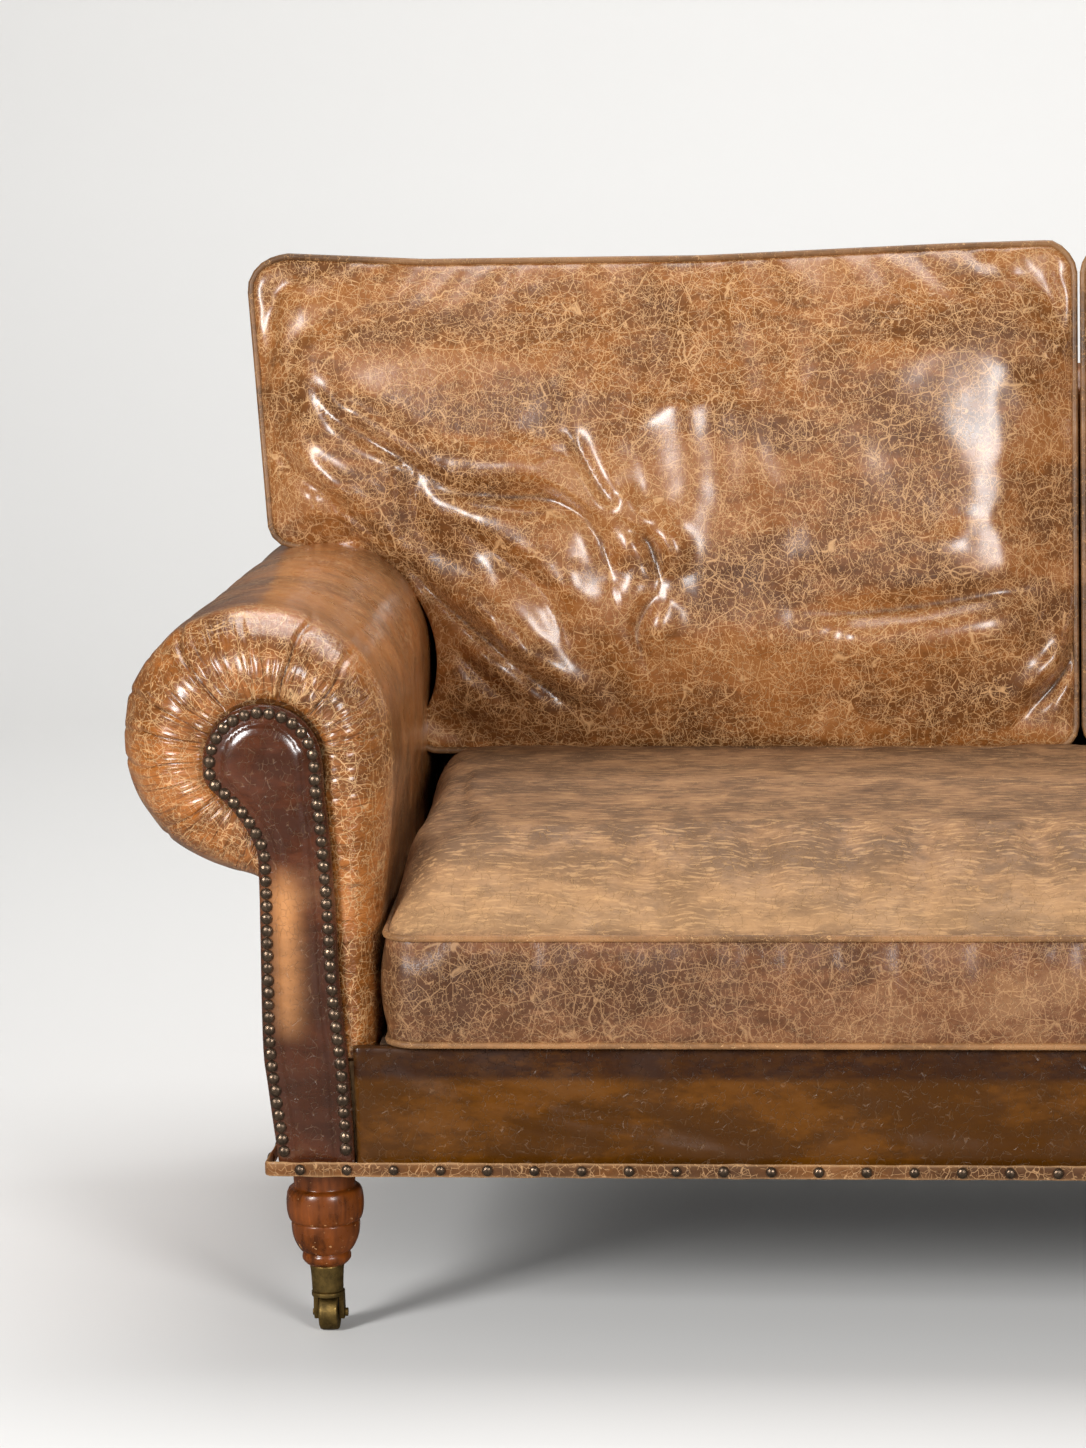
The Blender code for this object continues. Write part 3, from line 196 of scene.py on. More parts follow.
class SofaColours(bpy.types.PropertyGroup):
    """Colours of the sofa's leather, wood and metal."""

    back: colour_property("Back cushions", "Caramel leather of the back cushions", (150, 92, 42))
    seat: colour_property("Seat", "Worn matte leather of the seat", (150, 110, 74))
    arm: colour_property("Arms", "Orange tan leather of the arms", (178, 106, 44))
    panel: colour_property("Panels", "Dark reddish leather of the arm panels", (88, 44, 22))
    # Darker than the seat: partly the boxing's own colour, partly painted shade on its upright faces.
    seat_side: colour_property("Seat boxing", "Glossier leather of the seat's front", (118, 74, 44))
    border: colour_property("Border", "Amber leather of the front border", (98, 56, 6))
    band: colour_property("Base band", "Worn leather of the nailed band", (116, 70, 28))
    worn: colour_property("Piping", "Rubbed leather of the piping", (158, 112, 70))
    crackle: colour_property("Crackle", "Bare leather in the crackle lines", (214, 166, 114))
    # Darkest dye of the mottling and colour of real stains, also used for painted shade in folds and pleats
    # and the painted shadow under the seat.
    dark: colour_property("Shade and stains", "Darkened leather in folds and stains", (62, 34, 16))
    nail: colour_property("Nails", "Antique bronze of the nails", (118, 98, 80))
    brass: colour_property("Brass", "Aged brass of the castors", (138, 112, 62))
    leg: colour_property("Legs", "Stain of the turned legs", (120, 60, 16))
    floor: colour_property("Floor", "Pale floor and backdrop", (232, 231, 229))


def sizes():
    return bpy.context.scene.sofa_sizes


def colours():
    return bpy.context.scene.sofa_colours


# Outlines and places

def from_corner(inwards, up):
    """A point at (x, z), given from the left side and the top of the seat frame."""
    return np.array((inwards - FRAME_HALF, RAIL_HIGH + up))


def around(centre, radii, angles):
    turns = np.radians(angles)
    return centre + np.stack((np.cos(turns), np.sin(turns)), 1) * np.asarray(radii)[:, None]


def smooth_path(points, samples):
    """Points on a Catmull-Rom curve through the given ones, ends included."""
    points = np.asarray(points, float)
    framed = np.vstack((points[:1], points, points[-1:]))
    t = (np.arange(samples) / samples)[:, None]
    found = []
    for before, start, end, after in zip(framed, framed[1:], framed[2:], framed[3:]):
        bend = 2 * before - 5 * start + 4 * end - after
        twist = 3 * start - before - 3 * end + after
        found.append(0.5 * (2 * start + (end - before) * t + bend * t**2 + twist * t**3))
    return np.vstack((*found, points[-1:]))


def scroll_points(outline):
    """The points that a scroll outline names, from the foot of its inner face round to its outer end."""
    inner = [from_corner(*point) for point in outline["inner"]]
    scroll = around(from_corner(*outline["centre"]), outline["radii"], SCROLL_ANGLES)
    return np.vstack((inner, scroll, [from_corner(*outline["end"])]))


def section(front, back, depth, samples):
    """Outline of an arm at a depth, blended between its front and back outlines."""
    share = depth / POST_FOOT
    near = smooth_path(scroll_points(front), samples)
    far = smooth_path(scroll_points(back), samples)
    return near * (1 - share) + far * share


def leant_depth(depth, height):
    """Depth of a point of an arm, which leans with the back posts at its rear end."""
    share = np.maximum(0.0, (depth - ARM_LEAN_START) / (POST_FOOT - ARM_LEAN_START))
    return depth + share * share * (height - RAIL_HIGH) * math.tan(RAKE)


def raked(along, forward):
    """(depth, height) of a point given along the back's slope and forward of the posts' front face."""
    depth = POST_FOOT + along * math.sin(RAKE) - forward * math.cos(RAKE)
    return depth, RAIL_HIGH + CLEAR + along * math.cos(RAKE) + forward * math.sin(RAKE)


def arm_face(depth):
    """How far from the middle the foot of the arms' inner faces lies, at a depth."""
    near, far = OUTER_FRONT["inner"][0][0], OUTER_BACK["inner"][0][0]
    return FRAME_HALF - near + (near - far) * depth / POST_FOOT


def even_points(points, count):
    """A number of points spread evenly by length along an open path, ends included."""
    points = np.asarray(points, float)
    passed = np.concatenate(([0.0], np.cumsum(np.linalg.norm(np.diff(points, axis=0), axis=1))))
    wanted = np.linspace(0, passed[-1], count + 1)
    return np.stack([np.interp(wanted, passed, points[:, axis]) for axis in range(points.shape[1])], 1)


def offset_loop(points, distance):
    """A closed outline, drawn anticlockwise, moved outwards by a distance."""
    ahead = np.roll(points, -1, axis=0) - points
    ahead /= np.linalg.norm(ahead, axis=1)[:, None]
    along = ahead + np.roll(ahead, 1, axis=0)
    along /= np.linalg.norm(along, axis=1)[:, None]
    stretch = 1 / np.maximum(0.5, (along * ahead).sum(1))
    return points + np.stack((along[:, 1], -along[:, 0]), 1) * (distance * stretch)[:, None]


def rounded(corners, steps=8):
    """A closed outline from (x, y, radius) corners, and the index of each corner's middle point."""
    found, middles = [], []
    count = len(corners)
    for i, (x, y, radius) in enumerate(corners):
        here = Vector((x, y))
        before = (Vector(corners[i - 1][:2]) - here).normalized()
        after = (Vector(corners[(i + 1) % count][:2]) - here).normalized()
        half = before.angle(after) / 2
        centre = here + (before + after).normalized() * (radius / math.sin(half))
        start = here + before * radius / math.tan(half) - centre
        end = here + after * radius / math.tan(half) - centre
        turn = start.angle_signed(end)
        middles.append(len(found) + steps)
        for k in range(2 * steps + 1):
            found.append(centre + Matrix.Rotation(-turn * k / (2 * steps), 2) @ start)
    return np.array(found), middles


def path_distance(points, path):
    """Distance from each point to a path, its side (left is positive) and the share of the path passed."""
    path = np.asarray(path, float)
    best = np.full(len(points), np.inf)
    side, share = np.zeros(len(points)), np.zeros(len(points))
    lengths = np.linalg.norm(np.diff(path, axis=0), axis=1)
    passed = 0.0
    for start, end, length in zip(path, path[1:], lengths):
        run = (end - start) / length
        reach = points - start
        along = np.clip(reach @ run, 0, length)
        gap = reach - along[:, None] * run
        distance = np.linalg.norm(gap, axis=1)
        nearer = distance < best
        best = np.where(nearer, distance, best)
        side = np.where(nearer, np.sign(run[0] * gap[:, 1] - run[1] * gap[:, 0]), side)
        share = np.where(nearer, (passed + along) / lengths.sum(), share)
        passed += length
    return best, side, share


def lumps(points, scale, seed=0.0):
    """Smooth noise from -1 to 1 at each point, with lumps of about 1 / scale metres."""
    return np.array([noise.noise(Vector(p) * scale + Vector((seed, seed * 1.7, -seed))) for p in points])


# Meshes

def grid_faces(rows, columns, start=0, closed=False):
    """Quads of a grid whose points run column by column within each row; closed joins its columns round."""
    i, j = np.meshgrid(np.arange(rows - 1), np.arange(columns if closed else columns - 1), indexing="ij")
    a = start + i * columns + j
    b = start + i * columns + (j + 1) % columns
    return np.stack((a, b, b + columns, a + columns), -1).reshape(-1, 4).tolist()


def placed(name, data):
    """An object with its data, at the origin of the scene."""
    made = bpy.data.objects.new(name, data)
    bpy.context.scene.collection.objects.link(made)
    return made


def looped_faces(rings, sides):
    """Quads of a closed row of rings, its last ring joined to its first."""
    last = (rings - 1) * sides
    faces = grid_faces(rings, sides, closed=True)
    return faces + [(last + k, last + (k + 1) % sides, (k + 1) % sides, k) for k in range(sides)]


def make_piece(name, points, faces, finish, outwards=True):
    """An object at the origin with its place in its mesh, shaded smooth, its faces turned outwards."""
    mesh = bpy.data.meshes.new(name)
    mesh.from_pydata([tuple(p) for p in np.asarray(points, float)], [], faces)
    if outwards:
        face_outwards(mesh)
    mesh.shade_smooth()
    mesh.materials.append(finish)
    return placed(name, mesh)


def face_outwards(mesh):
    shape = bmesh.new()
    shape.from_mesh(mesh)
    bmesh.ops.recalc_face_normals(shape, faces=shape.faces)
    shape.to_mesh(mesh)
    shape.free()


def apply_modifiers(made):
    """Replaces an object's mesh with what its modifiers make of it."""
    graph = bpy.context.evaluated_depsgraph_get()
    mesh = bpy.data.meshes.new_from_object(made.evaluated_get(graph))
    made.modifiers.clear()
    made.data = mesh


def refine(made):
    """Divides every face once, rounding the form."""
    step = made.modifiers.new("refine", "SUBSURF")
    step.levels = 1
    step.render_levels = 1
    apply_modifiers(made)


def points_of(made):
    found = np.zeros(len(made.data.vertices) * 3)
    made.data.vertices.foreach_get("co", found)
    return found.reshape(-1, 3)


def normals_of(made):
    found = np.zeros(len(made.data.vertices) * 3, np.float32)
    made.data.vertex_normals.foreach_get("vector", found)
    return found.reshape(-1, 3).astype(float)


def set_points(made, points):
    made.data.vertices.foreach_set("co", np.asarray(points, np.float32).ravel())
    made.data.update()


def mirror_piece(made, name):
    """The right-hand twin of a left-hand piece."""
    mesh = made.data.copy()
    mesh.name = name
    mesh.transform(Matrix.Diagonal((-1, 1, 1, 1)))
    mesh.flip_normals()
    return placed(name, mesh)


def join_pieces(name, pieces):
    """One object from several, which are removed."""
    shape = bmesh.new()
    finishes = []
    for piece in pieces:
        offset = len(finishes)
        start = len(shape.faces)
        shape.from_mesh(piece.data)
        shape.faces.ensure_lookup_table()
        for face in shape.faces[start:]:
            face.material_index += offset
        finishes += list(piece.data.materials)
    mesh = bpy.data.meshes.new(name)
    shape.to_mesh(mesh)
    shape.free()
    for finish in finishes:
        mesh.materials.append(finish)
    for piece in pieces:
        bpy.data.objects.remove(piece)
    return placed(name, mesh)


def closed_sheet(name, front, rows, columns, rear, finish):
    """A wall from a grid of points back to a flat rear, closed round its rim; its depths become places."""
    rim = list(range(columns)) + [r * columns + columns - 1 for r in range(1, rows)]
    rim += [(rows - 1) * columns + c for c in range(columns - 2, -1, -1)]
    rim += [r * columns for r in range(rows - 2, 0, -1)]
    back = front[rim].copy()
    back[:, 1] = rear
    start = len(front)
    faces = grid_faces(rows, columns)
    faces += [(rim[k - 1], rim[k], start + k, start + (k - 1) % len(rim)) for k in range(len(rim))]
    faces.append(tuple(range(start, start + len(rim))))
    points = np.vstack((front, back))
    points[:, 1] += FRONT
    return make_piece(name, points, faces, finish)


def welded_copy(name, node, flat=False):
    """A frame node's shape in a new object, its doubles merged, and its flat faces made whole if asked."""
    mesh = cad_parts[node].data.copy()
    shape = bmesh.new()
    shape.from_mesh(mesh)
    bmesh.ops.remove_doubles(shape, verts=shape.verts, dist=0.00001)
    if flat:
        bmesh.ops.dissolve_limit(shape, angle_limit=math.radians(1), verts=shape.verts, edges=shape.edges)
    shape.to_mesh(mesh)
    shape.free()
    return placed(name, mesh)


def finish_copy(made, finish):
    made.data.materials.clear()
    made.data.materials.append(finish)
    made.data.shade_smooth()


def tube(name, path, radius, finish, sides=10):
    """A closed cord of round section along a loop of points."""
    path = np.asarray(path, float)
    ahead = np.roll(path, -1, axis=0) - np.roll(path, 1, axis=0)
    ahead /= np.linalg.norm(ahead, axis=1)[:, None]
    across = np.zeros_like(path)
    first = Vector(ahead[0]).orthogonal().normalized()
    for i, heading in enumerate(ahead):
        first = (first - Vector(heading) * first.dot(Vector(heading))).normalized()
        across[i] = first
    up = np.cross(ahead, across)
    turns = np.linspace(0, 2 * math.pi, sides, endpoint=False)
    spokes = np.cos(turns)[None, :, None] * across[:, None] + np.sin(turns)[None, :, None] * up[:, None]
    rings = path[:, None] + radius * spokes
    faces = grid_faces(len(path), sides, closed=True)
    shift = int(np.argmin(np.linalg.norm(rings[-1][0] - rings[0], axis=1)))
    last = (len(path) - 1) * sides
    for k in range(sides):
        after = (k + 1) % sides
        faces.append((last + k, last + after, (after + shift) % sides, (k + shift) % sides))
    return make_piece(name, rings.reshape(-1, 3), faces, finish)


def turned(name, profile, centre, finish, sides=64):
    """A solid turned about the upright axis of a centre, from (radius, height) with closed ends."""
    profile = np.asarray(profile, float)
    turns = np.linspace(0, 2 * math.pi, sides, endpoint=False)
    rings = [
        [(radius * math.cos(a), radius * math.sin(a), height) for a in turns]
        for radius, height in profile[1:-1]
    ]
    points = np.array(rings).reshape(-1, 3)
    count = len(rings)
    faces = grid_faces(count, sides, closed=True)
    points = np.vstack((points, (0, 0, profile[0][1]), (0, 0, profile[-1][1])))
    top, low = len(points) - 2, len(points) - 1
    faces += [(top, k, (k + 1) % sides) for k in range(sides)]
    base = (count - 1) * sides
    faces += [(low, base + (k + 1) % sides, base + k) for k in range(sides)]
    return make_piece(name, points + np.asarray(centre), faces, finish)


def mark_curvature(made, reach=0.010, rounds=2):
    """Writes how far each point stands out of its surroundings, from -1 in a fold to 1 on a ridge."""
    mesh = made.data
    edges = np.zeros(len(mesh.edges) * 2, int)
    mesh.edges.foreach_get("vertices", edges)
    edges = edges.reshape(-1, 2)
    points, normals = points_of(made), normals_of(made)
    count = np.bincount(edges.ravel(), minlength=len(points)).astype(float)

    def around_mean(values):
        total = np.zeros_like(values)
        np.add.at(total, edges[:, 0], values[edges[:, 1]])
        np.add.at(total, edges[:, 1], values[edges[:, 0]])
        return total / np.maximum(1, count.reshape(-1, *[1] * (values.ndim - 1)))

    bend = ((points - around_mean(points)) * normals).sum(1)
    span = np.zeros(len(points))
    lengths = np.linalg.norm(points[edges[:, 0]] - points[edges[:, 1]], axis=1)
    np.add.at(span, edges[:, 0], lengths)
    np.add.at(span, edges[:, 1], lengths)
    span /= np.maximum(1, count)
    value = bend / np.maximum(span, 1e-6) ** 2 * reach
    for _ in range(rounds):
        value = 0.5 * value + 0.5 * around_mean(value)
    write_attribute(made, "curvature", np.clip(value, -1, 1))


def write_attribute(made, name, values):
    layer = made.data.attributes.get(name) or made.data.attributes.new(name, "FLOAT", "POINT")
    layer.data.foreach_set("value", np.asarray(values, np.float32))


def settle(made, slot, *nodes, fill=None, body="root"):
    """Says what a finished piece rides on and hides the frame nodes it stands for; its slot and fill are not
    used.
    """
    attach(made, body)
    if nodes:
        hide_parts(*nodes)
    return made


# Finishes

class Finish:
    """A material in the making: each method adds a node and returns its output."""

    def __init__(self, name):
        self.material = bpy.data.materials.new(name)
        self.material.use_nodes = True
        self.tree = self.material.node_tree
        self.shader = self.tree.nodes["Principled BSDF"]
        self.where = self.add("ShaderNodeTexCoord").outputs["Object"]

    def add(self, kind, values=(), **settings):
        made = self.tree.nodes.new(kind)
        for key, value in settings.items():
            setattr(made, key, value)
        for key, value in dict(values).items():
            self.give(made.inputs[key], value)
        return made

    def give(self, target, value):
        if isinstance(value, bpy.types.NodeSocket):
            self.tree.links.new(value, target)
        else:
            target.default_value = value

    def place(self, stretch=(1, 1, 1), shift=(0, 0, 0), at=None):
        values = {"Vector": at or self.where, "Location": shift, "Scale": stretch}
        return self.add("ShaderNodeMapping", values).outputs[0]

    def noise(self, at, scale, detail=4.0, roughness=0.6):
        values = {"Vector": at, "Scale": scale, "Detail": detail, "Roughness": roughness}
        return self.add("ShaderNodeTexNoise", values).outputs["Fac"]

    def vector(self, operation, values):
        return self.add("ShaderNodeVectorMath", values, operation=operation).outputs[0]

    def warp(self, at, scale, amount):
        """Coordinates moved about by a cloud of noise."""
        values = {"Vector": at, "Scale": scale, "Detail": 2.0}
        cloud = self.add("ShaderNodeTexNoise", values).outputs["Color"]
        centred = self.vector("SUBTRACT", {0: cloud, 1: (0.5, 0.5, 0.5)})
        moved = self.vector("SCALE", {0: centred, "Scale": amount})
        return self.vector("ADD", {0: at, 1: moved})

    def cells(self, at, scale):
        """Distance to the edges of a mesh of cells."""
        values = {"Vector": at, "Scale": scale}
        return self.add("ShaderNodeTexVoronoi", values, feature="DISTANCE_TO_EDGE").outputs["Distance"]

    def sum(self, operation, a, b=0.0):
        return self.add("ShaderNodeMath", {0: a, 1: b}, operation=operation).outputs[0]

    def spread(self, value, low, high, to_low=0.0, to_high=1.0):
        """A value eased from one span to another."""
        values = {"Value": value, "From Min": low, "From Max": high, "To Min": to_low, "To Max": to_high}
        return self.add("ShaderNodeMapRange", values, interpolation_type="SMOOTHSTEP").outputs[0]

    def blend(self, share, a, b):
        """A mix of two colours, each a socket or three values."""
        a, b = ((*c, 1.0) if isinstance(c, tuple) else c for c in (a, b))
        return self.add("ShaderNodeMix", {0: share, 6: a, 7: b}, data_type="RGBA").outputs[2]

    def tones(self, value, stops):
        made = self.add("ShaderNodeValToRGB", {"Fac": value})
        ramp = made.color_ramp
        while len(ramp.elements) < len(stops):
            ramp.elements.new(0.5)
        for element, (position, colour) in zip(ramp.elements, stops):
            element.position = position
            element.color = (*colour, 1.0)
        return made.outputs["Color"]

    def attribute(self, name):
        return self.add("ShaderNodeAttribute", attribute_name=name).outputs["Fac"]

    def bump(self, height, distance, strength=1.0, under=None):
        values = {"Height": height, "Distance": distance, "Strength": strength}
        if under is not None:
            values["Normal"] = under
        return self.add("ShaderNodeBump", values).outputs[0]

    def done(self, colour, roughness, normal=None, **constants):
        """Links the patterns to the shader, sets its constants by name and returns the material."""
        self.give(self.shader.inputs["Base Color"], colour)
        self.give(self.shader.inputs["Roughness"], roughness)
        if normal is not None:
            self.give(self.shader.inputs["Normal"], normal)
        for name, value in constants.items():
            self.shader.inputs[name.replace("_", " ").title().replace("Ior", "IOR")].default_value = value
        return self.material


def shade(colour, factor):
    return tuple(min(1.0, value * factor) for value in colour)


def crackle_lines(f, at, layers, lines=None):
    """Broken, crossing crackle lines, 1 on a line, from (cells a metre, width, share shown, stretch)."""
    for k, (cells, width, shown, stretch) in enumerate(layers, 0 if lines is None else 1):
        moved = f.place(stretch=stretch, shift=(0.37 * k, 0.91 * k, 0.53 * k), at=at)
        curled = f.warp(moved, cells * 0.5, 0.8 / cells)
        line = f.spread(f.cells(curled, cells), 0.0, width, 1.0, 0.0)
        gaps = f.spread(f.noise(moved, cells * 0.6, 1.0), 0.58 - shown * 0.2, 0.62 - shown * 0.2)
        line = f.sum("MULTIPLY", line, gaps)
        lines = line if lines is None else f.sum("MAXIMUM", lines, line)
    return lines


def leather(name, look):
    """Worn leather: mottled dye, bare crackle lines, painted shade in folds, ridges worn pale and a fine
    grain; where a piece marks them, real stains, painted shadow, painted shade in pleats and painted
    highlights.
    """
    f = Finish(name)
    base, gloss, grain = tuple(look["base"]), look["gloss"], look.get("grain", 1.0)
    mottling, streaks = look.get("mottling", 0.5), look.get("streaks", 0.0)
    dark, bare = tuple(colours().dark), tuple(colours().crackle)
    soft = f.warp(f.where, 7.0, 0.05)
    clouds = f.noise(f.place(stretch=(1.0, 1.0, 2.2), at=soft), look.get("clouds", 5.0), 7.0, 0.66)
    spots = f.noise(f.place(stretch=(0.6, 1.0, 1.5)), 60.0, 5.0, 0.70)
    tone = f.sum("ADD", f.sum("MULTIPLY", clouds, 0.76), f.sum("MULTIPLY", spots, 0.24))
    deep = tuple(b * (1 - mottling) + d * mottling for b, d in zip(base, dark))
    fade = look.get("fade", 0.20)
    pale = tuple(b * (1 - fade) + c * fade for b, c in zip(base, bare))
    stops = ((0.38, shade(deep, 0.62)), (0.47, shade(base, 0.60)), (0.55, base), (0.66, pale))
    colour = f.tones(tone, stops)
    deep_lines = crackle_lines(f, f.where, look["layers"][:1])
    lines = crackle_lines(f, f.where, look["layers"][1:], deep_lines)
    colour = f.blend(f.sum("MULTIPLY", lines, look["crackle"]), colour, bare)
    height = f.sum("MULTIPLY", deep_lines, -0.5)
    if streaks:
        fibres = f.noise(f.place(stretch=(34, 260, 260), at=f.warp(f.where, 26.0, 0.012)), 1.0, 4.0, 0.62)
        colour = f.blend(f.spread(fibres, 0.52, 0.64, 0.0, streaks), colour, shade(bare, 0.95))
        colour = f.blend(f.spread(fibres, 0.46, 0.34, 0.0, streaks), colour, shade(base, 0.60))
        height = f.sum("ADD", height, f.sum("MULTIPLY", fibres, 0.9))
    # Paler where a piece marks it: worn edges on the base band, the seat's front edge, and a painted
    # highlight down the arm panels' shafts.
    rub = f.attribute("rub")
    rubbed = look.get("rubbed", shade(bare, 0.80))
    rub_and_highlight_share = f.sum("MULTIPLY", rub, f.spread(tone, 0.34, 0.60, 0.50, 0.90))
    colour = f.blend(rub_and_highlight_share, colour, rubbed)
    curvature = f.attribute("curvature")
    # Painted shade in the folds, darker the deeper the fold; ridges are worn paler.
    colour = f.blend(f.spread(curvature, -0.08, -0.6, 0.0, 0.80), colour, shade(dark, 0.55))
    colour = f.blend(f.spread(curvature, 0.16, 0.9, 0.0, 0.50), colour, shade(bare, 0.9))
    # Darker where a piece marks it: real stains on the seat, painted shadow along the border's top, and a
    # darker patch low on the arm panels.
    soil = f.attribute("soil")
    stain_and_shadow_share = f.sum("MULTIPLY", soil, f.spread(spots, 0.35, 0.60, 0.55, 1.0))
    colour = f.blend(stain_and_shadow_share, colour, shade(dark, 0.75))
    pebbles = f.noise(f.where, 620.0, 1.0, 0.5)
    ripple = f.noise(f.warp(f.where, 20.0, 0.03), 30.0, 3.0, 0.55)
    normal = f.bump(ripple, 0.0022, 0.55 * grain)
    if look.get("gathers"):
        around, travel = f.attribute("around"), f.attribute("travel")
        way = f.add("ShaderNodeCombineXYZ", {0: around, 1: travel}).outputs[0]
        folds = f.noise(f.place(stretch=(150, 16, 1), at=f.warp(way, 24.0, 0.014)), 1.0, 3.0, 0.55)
        near = f.spread(travel, 0.03, 0.12, 1.0, 0.0)
        normal = f.bump(f.sum("MULTIPLY", f.spread(folds, 0.30, 0.62), near), 0.0028, 0.9, normal)
        rim_lines = f.sum("MULTIPLY", lines, f.spread(travel, 0.10, 0.16, 0.62, 0.0))
        colour = f.blend(rim_lines, colour, bare)
        # Painted shade in the grooves of the rim's gathers.
        pleat_shade = f.sum("MULTIPLY", f.spread(folds, 0.40, 0.30), near)
        colour = f.blend(f.sum("MULTIPLY", pleat_shade, 0.55), colour, shade(dark, 0.8))
        # Painted shade: a darker band where the rim ends and the arm's top begins.
        band = f.sum("MULTIPLY", f.spread(travel, 0.10, 0.15), f.spread(travel, 0.24, 0.16))
        colour = f.blend(f.sum("MULTIPLY", band, f.spread(tone, 0.62, 0.42, 0.3, 0.8)), colour, deep)
    normal = f.bump(height, 0.0008, 1.0, normal)
    normal = f.bump(pebbles, 0.0006, 0.45 * grain, normal)
    rough = f.spread(f.noise(f.where, 16.0, 5.0, 0.65), 0.3, 0.7, gloss - 0.08, gloss + 0.14)
    rough = f.sum("ADD", rough, f.sum("MULTIPLY", lines, 0.15))
    rough = f.sum("ADD", rough, f.sum("MULTIPLY", rub, 0.10))
    return f.done(
        colour,
        rough,
        normal,
        coat_weight=look.get("coat", 0.25),
        coat_roughness=look.get("coat_rough", 0.28),
        specular_ior_level=look.get("shine", 0.4),
    )


def make_finishes():
    """Every material of the sofa, by a short name."""
    c = colours()
    curls = (
        (105.0, 0.038, 0.7, (1, 1, 1)),
        (150.0, 0.050, 0.6, (1, 1.2, 0.8)),
        (215.0, 0.065, 0.4, (1.3, 1, 0.8)),
    )
    long_cracks = ((52.0, 0.022, 0.9, (1, 1, 0.6)), (40.0, 0.018, 0.8, (0.6, 1, 1)))
    every = curls + long_cracks
    looks = {
        "back": dict(base=c.back, layers=every, crackle=0.90, gloss=0.34, coat=1.0, coat_rough=0.24),
        "seat": dict(base=c.seat, layers=curls[:1], crackle=0.42, gloss=0.62, coat=0.0),
        "seat_side": dict(base=c.seat_side, layers=every, crackle=0.40, gloss=0.33, coat=0.4),
        "arm": dict(base=c.arm, layers=curls[:2] + long_cracks, crackle=0.90, gloss=0.32, coat=1.0),
        "panel": dict(base=c.panel, layers=curls[1:2], crackle=0.12, gloss=0.22, coat=0.9, grain=0.5),
        "border": dict(base=c.border, layers=curls[1:2], crackle=0.08, gloss=0.26, coat=0.2, grain=0.4),
        "band": dict(base=c.band, layers=curls[:2], crackle=0.60, gloss=0.36, coat=0.2),
        "outer": dict(base=shade(c.arm, 0.72), layers=curls[:2], crackle=0.30, gloss=0.34),
        "piping": dict(base=shade(c.worn, 0.72), layers=curls[2:], crackle=0.75, gloss=0.42, coat=0.1),
        "seat_piping": dict(base=c.worn, layers=curls[2:], crackle=0.75, gloss=0.5, coat=0.0),
    }
    looks["seat"].update(streaks=0.55, mottling=0.22, clouds=17.0)
    looks["arm"].update(gathers=True, coat_rough=0.22)
    # The panels' paler colour is that of a painted highlight down their shafts.
    looks["panel"].update(coat_rough=0.16, fade=0.10, rubbed=paint(206, 142, 86))
    looks["border"].update(shine=0.28, fade=0.03, mottling=0.22)
    return {
        **{name: leather(name + "_leather", look) for name, look in looks.items()},
        "nail": metal("nail_bronze", c.nail, 0.26, 140.0),
        "brass": metal("castor_brass", c.brass, 0.42, 90.0),
        "leg": stained_wood("leg_wood", tuple(c.leg)),
        "beech": bare_wood("frame_beech"),
        "jute": webbing_cloth("jute_webbing", paint(172, 146, 104), 0.004),
        "platform": webbing_cloth("platform_cloth", paint(92, 66, 42), 0.0012),
        "lining": webbing_cloth("bottom_lining", paint(28, 27, 26), 0.0010),
    }


def metal(name, base, roughness, scale):
    """Aged metal, dark in its hollows and worn bright on its edges."""
    f = Finish(name)
    tarnish = f.noise(f.where, scale, 5.0, 0.7)
    stops = ((0.34, shade(base, 0.38)), (0.50, shade(base, 0.85)), (0.64, shade(base, 1.35)))
    colour = f.tones(tarnish, stops)
    curvature = f.attribute("curvature")
    colour = f.blend(f.spread(curvature, 0.05, 0.6), colour, shade(base, 1.7))
    colour = f.blend(f.spread(curvature, -0.05, -0.5), colour, shade(base, 0.22))
    rough = f.spread(tarnish, 0.35, 0.65, roughness + 0.14, roughness - 0.06)
    pits = f.noise(f.where, scale * 6, 3.0, 0.7)
    return f.done(colour, rough, f.bump(pits, 0.0004, 0.5), metallic=0.85)


def stained_wood(name, base):
    """Stained wood with a polish, its grain, dark grooves and chipped edges."""
    f = Finish(name)
    grain = f.noise(f.warp(f.place(stretch=(130, 130, 14)), 0.8, 1.2), 1.0, 5.0, 0.6)
    clouds = f.noise(f.where, 24.0, 5.0, 0.6)
    tone = f.sum("ADD", f.sum("MULTIPLY", grain, 0.5), f.sum("MULTIPLY", clouds, 0.5))
    stops = ((0.38, shade(base, 0.35)), (0.48, shade(base, 0.8)), (0.56, base), (0.68, shade(base, 1.6)))
    colour = f.tones(tone, stops)
    curvature = f.attribute("curvature")
    colour = f.blend(f.spread(curvature, -0.04, -0.4, 0.0, 0.9), colour, shade(base, 0.10))
    chips = f.spread(f.noise(f.where, 170.0, 3.0, 0.6), 0.66, 0.70)
    colour = f.blend(f.sum("MULTIPLY", chips, 0.7), colour, paint(214, 160, 104))
    height = f.sum("SUBTRACT", f.sum("MULTIPLY", grain, 0.4), chips)
    rough = f.spread(clouds, 0.35, 0.65, 0.24, 0.38)
    normal = f.bump(height, 0.0006, 0.7)
    return f.done(colour, rough, normal, coat_weight=0.35, coat_roughness=0.18, specular_ior_level=0.35)


def bare_wood(name):
    """Sawn beech of the hidden frame."""
    f = Finish(name)
    grain = f.noise(f.warp(f.place(stretch=(12, 60, 60)), 0.7, 1.0), 1.0, 5.0, 0.6)
    flecks = f.noise(f.place(stretch=(60, 300, 300)), 1.0, 2.0)
    stops = ((0.35, paint(132, 96, 60)), (0.5, paint(176, 136, 92)), (0.65, paint(198, 160, 116)))
    colour = f.tones(grain, stops)
    colour = f.blend(f.spread(flecks, 0.60, 0.68, 0.0, 0.5), colour, paint(120, 84, 52))
    return f.done(colour, 0.7, f.bump(grain, 0.0006, 0.6))


